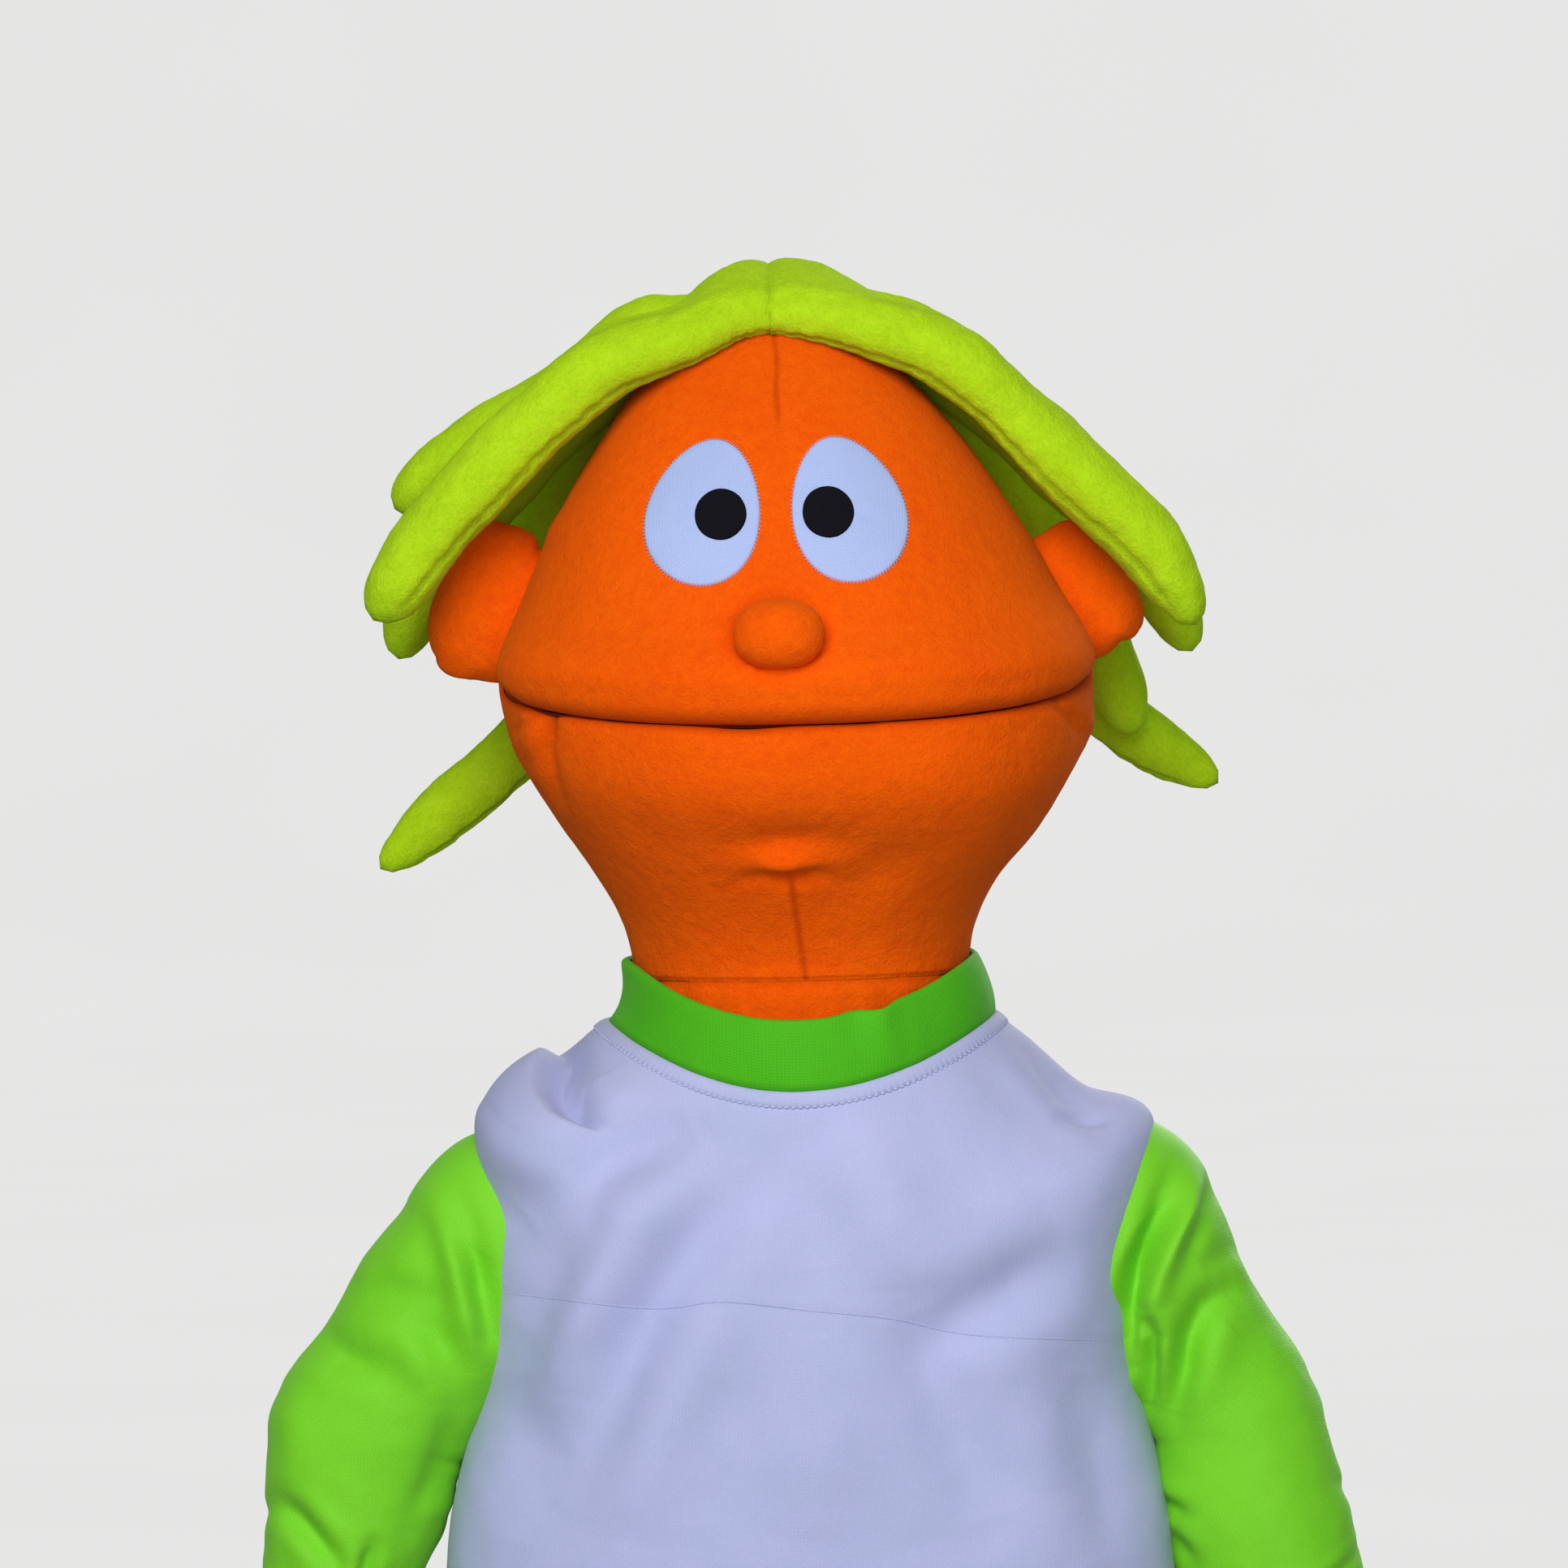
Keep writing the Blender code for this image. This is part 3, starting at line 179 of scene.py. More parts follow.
def strip_faces(line, other):
    """Faces between two lines of points, given by their numbers."""
    return np.stack([line[:-1], line[1:], other[1:], other[:-1]], -1).reshape(-1, 4).tolist()


def fan(tip, cols):
    """Triangles from a point to a grid's first ring."""
    return [(tip, (j + 1) % cols, j) for j in range(cols)]


def closed(rows, cols):
    """Faces of a tube with its ends drawn to the two points that follow its grid."""
    tip = rows * cols
    last = tip - cols
    ends = [(tip + 1, last + j, last + (j + 1) % cols) for j in range(cols)]
    return quads(rows, cols, True) + fan(tip, cols) + ends


def to_px(points):
    """Where the camera sees points, in pixels of the 1932-pixel frame."""
    rel = points - AIM
    scale = EYE_DISTANCE / (PIXEL * (EYE_DISTANCE + rel @ AHEAD))
    right, down = rel[..., 0] * scale, -(rel @ UPWARD) * scale
    c, s = math.cos(EYE_ROLL), math.sin(EYE_ROLL)
    return np.stack([right * c + down * s, down * c - right * s], -1) + FRAME_SIZE / 2


def sight(px, py):
    """The camera's place and its line of sight through a pixel."""
    dx, dy = px - FRAME_SIZE / 2, py - FRAME_SIZE / 2
    c, s = math.cos(EYE_ROLL), math.sin(EYE_ROLL)
    right, down = dx * c - dy * s, dx * s + dy * c
    way = AHEAD * EYE_DISTANCE + np.array((right * PIXEL, 0, 0)) - UPWARD * down * PIXEL
    return Vector(AIM - AHEAD * EYE_DISTANCE), Vector(unit(way))


def near_line(points, line):
    """Distance of 2-D points from a polyline, and the share of its length at the nearest place."""
    best = np.full(points.shape[:-1], 1e9)
    share = np.zeros(points.shape[:-1])
    line = np.asarray(line, float)
    lengths = np.linalg.norm(np.diff(line, axis=0), axis=1)
    start = np.r_[0, np.cumsum(lengths)]
    for a, b, length, before in zip(line, line[1:], lengths, start):
        along = np.clip(((points - a) @ (b - a)) / length**2, 0, 1)
        gap = np.linalg.norm(points - (a + along[..., None] * (b - a)), axis=-1)
        closer = gap < best
        best = np.where(closer, gap, best)
        share = np.where(closer, (before + along * length) / start[-1], share)
    return best, share


def folded(px, lines, spread, bank_height, bank_at, bank_spread):
    """How deep folds are at places seen at px: each is a line, a width and a depth, with a raised bank."""
    total = 0
    for line, width, depth in lines:
        gap, share = near_line(px, line)
        taper = np.sin(math.pi * np.clip(0.06 + 0.88 * share, 0, 1))**0.7
        bank = bank_height * bell(gap - bank_at * width, bank_spread * width)
        total = total + depth * (bell(gap, spread * width) - bank) * taper
    return total


# Meshes

def coordinates(vertices):
    co = np.zeros(len(vertices) * 3)
    vertices.foreach_get("co", co)
    return co.reshape(-1, 3)


def piece(name, points, faces, material, seam=None, cloth=None):
    """A smooth mesh, with its rest place, its seams and painted shade, and its place on the cloth for the
    materials.
    """
    points = np.asarray(points, float).reshape(-1, 3)
    tris = np.array([t for f in faces for t in ((f[0], f[1], f[2]), (f[0], f[2], f[-1]))[:len(f) - 2]])
    a, b, c = (points[tris[:, k]] - points.mean(0) for k in range(3))
    if (a * np.cross(b, c)).sum() < 0:
        faces = [tuple(reversed(f)) for f in faces]
    mesh = bpy.data.meshes.new(name)
    mesh.from_pydata(points.tolist(), [], faces)
    mesh.polygons.foreach_set("use_smooth", [True] * len(mesh.polygons))
    rest = coordinates(mesh.vertices)
    seam = np.zeros(len(points)) if seam is None else seam
    cloth = rest if cloth is None else cloth
    for label, kind, key, values in (
            ("rest", "FLOAT_VECTOR", "vector", rest), ("seam", "FLOAT", "value", seam),
            ("cloth", "FLOAT_VECTOR", "vector", cloth)):
        mesh.attributes.new(label, kind, "POINT").data.foreach_set(key, np.asarray(values, float).ravel())
    mesh.materials.append(material)
    obj = bpy.data.objects.new(name, mesh)
    bpy.context.scene.collection.objects.link(obj)
    return obj


def belong(obj, body, slot, *nodes):
    """Attaches a piece to its body, when it has one, and hides the solids that it stands for; its slot is not
    used.
    """
    if body:
        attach(obj, body)
    if nodes:
        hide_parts(*nodes)
    return obj


def thicken(obj, thickness):
    m = obj.modifiers.new("thickness", "SOLIDIFY")
    m.thickness = thickness
    m.offset = -1.0
    m.use_even_offset = False


def cloth_grid(grid):
    """Lengths along rows and columns, in metres, for the weave."""
    u = np.linalg.norm(np.diff(grid, axis=1, prepend=grid[:, :1]), axis=-1).cumsum(1)
    v = np.linalg.norm(np.diff(grid, axis=0, prepend=grid[:1]), axis=-1).cumsum(0)
    u = u - u[:, u.shape[1] // 2][:, None]
    return np.stack([u, v, np.zeros_like(u)], -1)


def ball_grid(rows, cols):
    """Directions over a ball: rows from pole to pole along Z."""
    a = np.linspace(0, math.pi, rows)[:, None]
    b = around(cols, 0)[None, :]
    return np.stack([np.sin(a) * np.cos(b), np.sin(a) * np.sin(b), np.cos(a) * np.ones_like(b)], -1)


FLEECE_THICK, JERSEY_THICK = 0.0018, 0.0014
CLOTH_SCALE = 20.0
CLOTH_FRAMES = 20
CLOTH_PRESSURE = 4.0


def stuff(points, faces, voxel, cap, smooth):
    """Cloth sewn in a flat form and filled: blown up under pressure, with no point moved further than cap.

    The cloth is simulated CLOTH_SCALE times as large, where Blender's solver works well."""
    mesh = bpy.data.meshes.new("stuffing")
    mesh.from_pydata((np.asarray(points).reshape(-1, 3) * CLOTH_SCALE).tolist(), [], faces)
    obj = bpy.data.objects.new("stuffing", mesh)
    bpy.context.scene.collection.objects.link(obj)

    def evaluated():
        return obj.evaluated_get(bpy.context.evaluated_depsgraph_get())

    def applied(kind, **values):
        modifier = obj.modifiers.new("make", kind)
        for key, value in values.items():
            setattr(modifier, key, value)
        made = bpy.data.meshes.new_from_object(evaluated())
        obj.modifiers.clear()
        obj.data = made

    applied("REMESH", mode="VOXEL", voxel_size=voxel * CLOTH_SCALE)
    start = coordinates(obj.data.vertices)
    cloth = obj.modifiers.new("cloth", "CLOTH")
    cloth.settings.use_pressure = True
    cloth.settings.uniform_pressure_force = CLOTH_PRESSURE
    cloth.settings.effector_weights.gravity = 0.0
    for frame_number in range(1, CLOTH_FRAMES + 1):
        bpy.context.scene.frame_set(frame_number)
    move = coordinates(evaluated().data.vertices) - start
    obj.modifiers.clear()
    bpy.context.scene.frame_set(1)
    far = np.linalg.norm(move, axis=1, keepdims=True)
    move *= np.minimum(1, cap * CLOTH_SCALE / np.maximum(far, 1e-9))
    obj.data.vertices.foreach_set("co", (start + move).ravel())
    applied("SMOOTH", factor=0.5, iterations=smooth)
    applied("SUBSURF", levels=1, render_levels=1)
    points = coordinates(obj.data.vertices) / CLOTH_SCALE
    normals = np.zeros(len(points) * 3)
    obj.data.vertices.foreach_get("normal", normals)
    faces = [tuple(p.vertices) for p in obj.data.polygons]
    bpy.data.objects.remove(obj)
    return points, normals.reshape(-1, 3), faces


# Materials

def material(name):
    m = bpy.data.materials.new(name)
    m.use_nodes = True
    return m, m.node_tree, m.node_tree.nodes["Principled BSDF"]


def feed(tree, node, inputs):
    """Sets a node's inputs to values, or links them to sockets."""
    for key, value in inputs.items():
        if isinstance(value, bpy.types.NodeSocket):
            tree.links.new(value, node.inputs[key])
        else:
            node.inputs[key].default_value = value


def add_node(tree, kind, inputs, **settings):
    node = tree.nodes.new("ShaderNode" + kind)
    for key, value in settings.items():
        setattr(node, key, value)
    feed(tree, node, inputs)
    return node.outputs


def math_node(tree, kind, a, b):
    return add_node(tree, "Math", {0: a, 1: b}, operation=kind)[0]


def weighted(tree, *terms):
    """A sum of sockets, each times its weight."""
    total, *others = (math_node(tree, "MULTIPLY", *term) for term in terms)
    for other in others:
        total = math_node(tree, "ADD", total, other)
    return total


def field(tree, name, output):
    return add_node(tree, "Attribute", {}, attribute_name=name)[output]


def noise_node(tree, vector, size, detail=2.0, roughness=0.55):
    inputs = {"Scale": 1 / size, "Detail": detail, "Roughness": roughness, "Vector": vector}
    return add_node(tree, "TexNoise", inputs)["Fac"]


def wave_node(tree, vector, period, axis):
    inputs = {"Scale": 2 * math.pi / (20 * period), "Distortion": 1.2, "Detail": 1.0, "Vector": vector}
    return add_node(tree, "TexWave", inputs, bands_direction=axis)["Fac"]


def mix_colour(tree, factor, a, b):
    a, b = ((*c, 1) if isinstance(c, tuple) else c for c in (a, b))
    return add_node(tree, "Mix", {0: factor, 6: a, 7: b}, data_type="RGBA")[2]


def dress(tree, shader, colours, tone, tone_range, height, bump, bump_depth, others):
    """The looks that all cloth shares: light and dark by its tone, deep in its seams and where shade is
    painted on it, with a fine relief.
    """
    light, dark, deep = colours
    low, high = tone_range
    share = add_node(tree, "MapRange", {"From Min": low, "From Max": high, "Value": tone})[0]
    colour = mix_colour(tree, field(tree, "seam", "Fac"), mix_colour(tree, share, dark, light), deep)
    relief = add_node(tree, "Bump", {"Strength": bump, "Distance": bump_depth, "Height": height})[0]
    feed(tree, shader, {"Base Color": colour, "Normal": relief, **others})


def fleece(name, light, dark, deep, sheen_tint, pile=0.0011, bump=0.5, sheen=0.35):
    """Brushed fleece: short mottled pile over soft, wide changes of tone."""
    m, tree, shader = material(name)
    rest = field(tree, "rest", "Vector")
    fine = noise_node(tree, rest, pile, 3.0, 0.65)
    clump = noise_node(tree, rest, pile * 4.5, 3.0, 0.6)
    wide = noise_node(tree, rest, 0.05)
    tone = weighted(tree, (fine, 0.5), (clump, 0.35), (wide, 0.25))
    height = weighted(tree, (fine, 0.6), (clump, 0.9))
    rough = math_node(tree, "ADD", weighted(tree, (clump, 0.2)), 0.8)
    dress(tree, shader, (light, dark, deep), tone, (0.38, 0.72), height, bump, 0.0011,
          {"Roughness": rough, "Specular IOR Level": 0.05, "Sheen Weight": sheen, "Sheen Roughness": 0.55,
           "Sheen Tint": (*sheen_tint, 1)})
    return m


def knit(name, light, dark, deep, sheen_tint, rib=0.0014, bump=0.35, sheen=0.2, gloss=0.3, roughness=0.6):
    """Fine jersey: columns of loops, with a little mottling and wide changes of tone."""
    m, tree, shader = material(name)
    rest = field(tree, "rest", "Vector")
    place = field(tree, "cloth", "Vector")
    loops = math_node(tree, "MULTIPLY", wave_node(tree, place, rib, "X"),
                      wave_node(tree, place, rib * 0.75, "Y"))
    fuzz = noise_node(tree, rest, 0.0009, 3.0, 0.6)
    wide = noise_node(tree, rest, 0.045, 3.0)
    tone = weighted(tree, (loops, 0.3), (fuzz, 0.4), (wide, 0.45))
    height = weighted(tree, (loops, 0.6), (fuzz, 0.5))
    rough = math_node(tree, "ADD", weighted(tree, (fuzz, 0.2)), roughness)
    dress(tree, shader, (light, dark, deep), tone, (0.3, 0.68), height, bump, 0.0006,
          {"Roughness": rough, "Specular IOR Level": gloss, "Sheen Weight": sheen, "Sheen Roughness": 0.5,
           "Sheen Tint": (*sheen_tint, 1)})
    return m


# Each cloth: light and dark colours by its tone, a deep colour for its seams and for painted shade, and a
# sheen tint
ORANGE = fleece("orange_fleece", (1.0, 0.135, 0.0015), (0.84, 0.080, 0.001), (0.36, 0.024, 0.001),
                (1, 0.30, 0.02), bump=0.75, sheen=0.22)
LIME = fleece("lime_fleece", (0.50, 0.80, 0.016), (0.36, 0.60, 0.006), (0.20, 0.31, 0.004), (0.65, 0.9, 0.05),
              0.0013, 0.85, 0.22)
FELT_WHITE = knit("eye_felt", (0.455, 0.56, 0.90), (0.39, 0.49, 0.82), (0.62, 0.26, 0.30), (0.7, 0.8, 1),
                  0.0011, sheen=0.1, gloss=0.1)
FELT_BLACK = fleece("pupil_felt", (0.0085, 0.0085, 0.0125), (0.0045, 0.0045, 0.007), (0.003, 0.003, 0.004),
                    (0.3, 0.3, 0.35), 0.0008, 0.4, 0.0)
FELT_RED = fleece("mouth_felt", (0.20, 0.016, 0.010), (0.13, 0.009, 0.006), (0.06, 0.004, 0.003),
                  (0.6, 0.15, 0.1), 0.0009, 0.4, 0.15)
SHIRT = knit("shirt_jersey", (0.52, 0.545, 0.87), (0.415, 0.48, 0.73), (0.26, 0.29, 0.50), (0.8, 0.85, 1),
             0.0012, 0.25, 0.12, 0.12)
COLLAR = knit("collar_jersey", (0.085, 0.52, 0.012), (0.058, 0.43, 0.007), (0.02, 0.18, 0.003),
              (0.4, 0.9, 0.2), 0.0015, 0.4, 0.15, 0.12)
SLEEVE = knit("sleeve_jersey", (0.215, 0.72, 0.026), (0.165, 0.62, 0.016), (0.06, 0.33, 0.005),
              (0.5, 0.95, 0.2), 0.0013, 0.3, 0.15, 0.18, 0.5)
THREAD = knit("white_thread", (0.62, 0.66, 0.88), (0.5, 0.54, 0.78), (0.3, 0.33, 0.5), (0.9, 0.9, 1),
              0.0006, 0.3)
EYE_THREAD = knit("eye_thread", (0.62, 0.50, 0.66), (0.52, 0.36, 0.46), (0.4, 0.2, 0.22), (0.9, 0.8, 0.8),
                  0.0006, 0.3)
FOAM = fleece("soft_foam", (0.75, 0.68, 0.45), (0.60, 0.53, 0.33), (0.4, 0.35, 0.2), (0.8, 0.8, 0.6),
              0.0016, 0.8, 0.0)
WEBBING = knit("black_webbing", (0.03, 0.03, 0.033), (0.014, 0.014, 0.016), (0.006, 0.006, 0.007),
               (0.3, 0.3, 0.3), 0.0022, 0.6)
BOARD = fleece("mouth_board", (0.19, 0.17, 0.145), (0.13, 0.115, 0.098), (0.06, 0.05, 0.045),
               (0.3, 0.3, 0.3), 0.002, 0.25, 0.0)


# Head

def head_size(z):
    up = np.clip((z - MOUTH_Z) / HEAD_TALL, 0, 1)
    r = np.sqrt(1 - up)
    s = np.clip((MOUTH_Z - z) / (MOUTH_Z - NECK_SEAM_Z), 0, 1)
    fall = (1 + np.cos(math.pi * s)) / 2
    fall_front = (1 + np.cos(math.pi * s**1.5)) / 2
    sizes = [np.where(z >= MOUTH_Z, half * r**power, NECK_RADIUS + (half - NECK_RADIUS) * drop)
             for half, power, drop in ((HEAD_WIDE, 1, fall), (HEAD_FRONT, FRONT_POWER, fall_front),
                                       (HEAD_BACK, BACK_POWER, fall))]
    return *(np.maximum(size, 1e-5) for size in sizes), 2.3 - 0.3 * s


def head_at(angle, z):
    """A point of the head's skin at an angle from straight ahead, towards +X, and a height."""
    wide, front, back, power = head_size(z)
    return ring_points(oval(angle, wide, np.where(np.cos(angle) > 0, front, back), power), angle, z)


def lip_height(angle):
    z = np.full(np.shape(angle), MOUTH_Z)
    for _ in range(8):
        p = head_at(angle, z)
        z = MOUTH_Z - np.maximum(HINGE_Y - p[..., 1], 0) * math.tan(MOUTH_TILT)
    return z


# How far the stuffed head leans to +X at each height
LEAN = ((0.300, 0.361, 0.400, 0.430, 0.463, 0.500, 0.543, 0.600, 0.645),
        (0.0015, 0.0032, 0.0018, 0.0022, 0.0038, 0.0026, 0.0, -0.0028, -0.0046))


def lean(points):
    points = np.array(points, float)
    points[..., 0] += np.interp(points[..., 2], *LEAN)
    return points


# The way across the fold between throat and jaw, and how far before and after the hinge the skin bends
FOLD_WAY = np.array((0.0, -0.656, 0.755))
HINGE = np.array((0.0, HINGE_Y, MOUTH_Z))
FOLD_BEFORE, FOLD_AFTER = 0.022, 0.040


def throat_height(angle):
    """Where the moving lower face joins the throat: a plane below and behind the mouth hinge."""
    z = np.full(np.shape(angle), 0.42)
    for _ in range(30):
        y = head_at(angle, z)[..., 1]
        new = MOUTH_Z + (-FOLD_BEFORE - FOLD_WAY[1] * (y - HINGE_Y)) / FOLD_WAY[2]
        z = z + 0.5 * (new - z)
    return z


COLUMNS = 312
TURN = around(COLUMNS)
ANGLE = TURN - 0.45 * np.sin(TURN)
IN_FRONT = np.abs(ANGLE) < MOUTH_CORNER
LIP_Z = lip_height(ANGLE)
UPPER_ROLL, LOWER_ROLL, LIP_SQUEEZE = 0.0090, 0.0042, 0.9
LIP_ROLL = UPPER_ROLL * ease(MOUTH_CORNER - np.abs(ANGLE), 0.0, 0.20)
# Height of the seam behind the mouth's corners, and of the neck cover's ends
CORNER_Z = 0.4675
NECK_TOP_Z, NECK_FOOT_Z = 0.372, 0.300
NOSE_Z = MOUTH_Z + HEAD_TALL * 0.101
NOSE_SIZE = np.array((0.0172, 0.0150, 0.0136))
FACE_X = -0.003
LIP_STEPS = np.linspace(0, math.pi / 2, 8)[1:]
# How far the turned edge of a lip runs in, and how far it sinks there
LIP_TURN = ((0.003, 0.0006), (0.006, 0.0018), (0.009, 0.0028))
# Folds by the mouth's corners, in pixels of the photograph: points, width and depth (minus stands out)
MOUTH_FOLDS = (
    (((678, 864), (672, 890), (674, 925), (697, 995)), 9, 0.0056),
    (((652, 862), (650, 890), (662, 935)), 13, -0.0030),
    (((677, 868), (656, 884), (636, 906)), 6, 0.0020),
    (((1300, 862), (1318, 884), (1322, 912)), 7, 0.0026),
    (((1338, 872), (1336, 900), (1322, 925)), 8, -0.0018),
    (((1262, 872), (1290, 872), (1312, 868)), 6, 0.0012),
)
# The chin's tuck: how far each form stands out, its height and spread, its place along X and spread, and the
# slope and bend of its line
CHIN_FORMS = (
    (-0.0030, 0.4160, 0.0070, 0.000, 0.0230, 0, 0),
    (0.0054, 0.4085, 0.0044, -0.003, 0.0125, 0, 0),
    (-0.0054, 0.4018, 0.0032, -0.001, 0.0080, 0, 9),
    (-0.0012, 0.4020, 0.0036, -0.016, 0.0090, 0.30, 0),
    (-0.0012, 0.4020, 0.0036, 0.012, 0.0090, -0.30, 0),
    (-0.0026, 0.4038, 0.0100, 0.034, 0.0180, 0.45, 0),
)


def skin_noise(p, seed):
    return layers(p, (0.0013, 0.085, seed), (0.0006, 0.03, seed + 1), (0.00016, 0.0065, seed + 2))


def upper_relief(p, lip):
    """How far the head's skin stands out or in above the mouth, and how dark it is painted: its dart seam,
    and shade painted in the crease round the nose.
    """
    x, y, z = np.moveaxis(p, -1, 0)
    front = ease(-y, -0.01, 0.05)
    nose = np.hypot((x - FACE_X) / NOSE_SIZE[0], (z - NOSE_Z) / 0.0140)
    dart = bell(x - FACE_X / 2 + 0.0004 * np.sin(z * 300), 0.0011) * ease(z, 0.574, 0.584) * front
    out = skin_noise(p, 11) + 0.0046 * bell(z - lip - 0.016, 0.015) * front
    out = out - 0.0030 * bell(nose - 1.05, 0.22) * front - 0.0006 * dart
    out = out + 0.0022 * bell(x + 0.097, 0.007) * bell(z - 0.541, 0.006)
    # The dart seam is darker, and painted shade lies in the crease round the nose
    return out, 0.45 * dart + 0.35 * bell(nose - 1.03, 0.10) * front


def lower_relief(p, drop):
    """The same below the mouth, with the chin's tuck, its dart and the folds at the corners."""
    x, y, z = np.moveaxis(p, -1, 0)
    front = ease(-y, -0.02, 0.04)
    dart = bell(x - 0.004 + 0.13 * (z - 0.366), 0.0012) * (1 - ease(z, 0.397, 0.402)) * front
    chin = 0.0020 * bell(drop - 0.026, 0.014) - 0.0010 * bell(drop, 0.010)
    for height, z0, tall, x0, broad, slope, bend in CHIN_FORMS:
        chin = chin + height * bell(z - z0 - slope * (x - x0) - bend * x * x, tall) * bell(x - x0, broad)
    out = skin_noise(p, 23) + chin * front - 0.0010 * dart
    out = out + 0.0050 * bell(z - 0.424, 0.028) * ease(x, 0.02, 0.075)
    px = to_px(p)
    for line, width, depth in MOUTH_FOLDS:
        gap, share = near_line(px, line)
        out = out - (depth * bell(gap, width) * np.sin(math.pi * np.clip(0.12 + 0.86 * share, 0, 1))
                     * (y < 0.04))
    return out, 0.55 * dart


def rolled_lip(start, angle, roll, rise, way):
    """The rows past a lip's edge: a quarter turn inward, then a slope behind the mouth's felt."""
    away = outwards(angle, LIP_SQUEEZE)
    rows = [start - away * roll[:, None] * (1 - math.cos(a)) - UP * way * rise[:, None] * math.sin(a)
            for a in LIP_STEPS]
    slope = math.tan(MOUTH_TILT) * np.cos(angle)
    crest = rows[-1]
    rows += [crest - away * run + UP * (slope * run + way * sink)[:, None] for run, sink in LIP_TURN]
    return np.array(rows)


def make_head():
    rows, below_rows = 118, 54
    lip_row = np.where(IN_FRONT, LIP_Z + LIP_ROLL, CORNER_Z)
    reach = np.where(lip_row < MOUTH_Z, 1 + (MOUTH_Z - lip_row) / (2 * HEAD_TALL),
                     np.sqrt(np.clip(1 - (lip_row - MOUTH_Z) / HEAD_TALL, 0, 1)))
    share = np.linspace(0.006, 1, rows)[:, None] * reach[None, :]
    z = np.where(share <= 1, MOUTH_Z + HEAD_TALL * (1 - np.minimum(share, 1)**2),
                 MOUTH_Z - 2 * HEAD_TALL * (share - 1))
    upper = lean(head_at(np.broadcast_to(ANGLE, z.shape), z))
    out, seam = upper_relief(upper, np.broadcast_to(np.where(IN_FRONT, LIP_Z, -9), z.shape))
    upper = upper + grid_normals(upper, True) * out[..., None]

    front = np.flatnonzero(IN_FRONT)
    rim = rolled_lip(upper[-1, front], ANGLE[front], LIP_ROLL[front], LIP_ROLL[front], 1)

    top = np.where(IN_FRONT, throat_height(ANGLE) + 0.004, CORNER_Z)
    z = top[None, :] + np.linspace(0, 1, below_rows)[:, None] * (NECK_SEAM_Z - top)[None, :]
    lower = lean(head_at(np.broadcast_to(ANGLE, z.shape), z))
    out, low_seam = lower_relief(lower, np.full(z.shape, 1.0))
    tuck = 0.0010 * ease(NECK_SEAM_Z + 0.002 - z, 0, 0.002)
    out = out * ease(z, NECK_SEAM_Z, NECK_SEAM_Z + 0.01) - tuck
    lower = lower + grid_normals(lower, True) * out[..., None]

    points = np.vstack([g.reshape(-1, 3) for g in (upper, rim, lower)] + [lean([[0, 0, CROWN_Z]])])
    # The upper lip's rolled edge is painted in shade, darkest where it turns into the mouth
    lip_slit_shade = np.repeat(np.linspace(0.1, 1, len(rim)), len(front))
    seams = np.concatenate([seam.ravel(), lip_slit_shade, low_seam.ravel(), np.zeros(1)])
    last_row = (rows - 1) * COLUMNS + np.arange(COLUMNS)
    rim_start = rows * COLUMNS
    low_start = rim_start + rim.shape[0] * len(front)
    ids = np.vstack([last_row[front], np.arange(rim_start, low_start).reshape(-1, len(front))])
    faces = quads(rows, COLUMNS, True)
    faces += np.stack([ids[:-1, :-1], ids[:-1, 1:], ids[1:, 1:], ids[1:, :-1]], -1).reshape(-1, 4).tolist()
    ids = low_start + np.arange(below_rows * COLUMNS).reshape(below_rows, COLUMNS)
    ids[0, ~IN_FRONT] = last_row[~IN_FRONT]
    after = np.roll(ids, -1, 1)
    faces += np.stack([ids[:-1], after[:-1], after[1:], ids[1:]], -1).reshape(-1, 4).tolist()
    faces += fan(low_start + below_rows * COLUMNS, COLUMNS)
    used = np.unique(np.concatenate([np.array(f) for f in faces]))
    renumber = np.full(len(points), -1)
    renumber[used] = np.arange(len(used))
    faces = [tuple(int(renumber[i]) for i in f) for f in faces]
    cover = belong(piece("head_cover", points[used], faces, ORANGE, seams[used]), "head", "orange_fleece",
                   "head_skin")
    return cover


def make_jaw():
    rows = 74
    angle = ANGLE[np.abs(ANGLE) < MOUTH_CORNER + 0.09]
    lip = lip_height(angle)
    lip = lip - 0.0004 - 0.0012 * bell(head_at(angle, lip)[..., 0] + 0.022, 0.016)
    roll = LOWER_ROLL * ease(MOUTH_CORNER - np.abs(angle), -0.02, 0.30)
    under = 0.0012 * ease(np.abs(angle), MOUTH_CORNER - 0.02, MOUTH_CORNER + 0.03)
    bottom = throat_height(angle) - 0.006
    top = lip - roll
    z = top[None, :] + np.linspace(0, 1, rows)[:, None] * (bottom - top)[None, :]
    skin = lean(head_at(np.broadcast_to(angle, z.shape), z))
    out, seam = lower_relief(skin, lip[None, :] - z)
    out = out - under[None, :] + 0.00012
    skin = skin + grid_normals(skin, False) * out[..., None]
    dent = np.clip(-out[0], 0, None)
    rim = rolled_lip(skin[0], angle, roll, roll - 0.5 * dent, -1)[::-1]
    grid = np.vstack([rim, skin])
    # The lower lip's rolled edge is painted in shade, darkest where it turns into the mouth; below it, the
    # dart seam
    seams = np.vstack([np.repeat(np.linspace(1, 0.1, len(rim))[:, None], len(angle), 1), seam])
    cover = piece("jaw_cover", grid, quads(*grid.shape[:2]), ORANGE, seams)
    belong(cover, None, "orange_fleece", "jaw_skin", "throat_skin")
    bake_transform(cover)


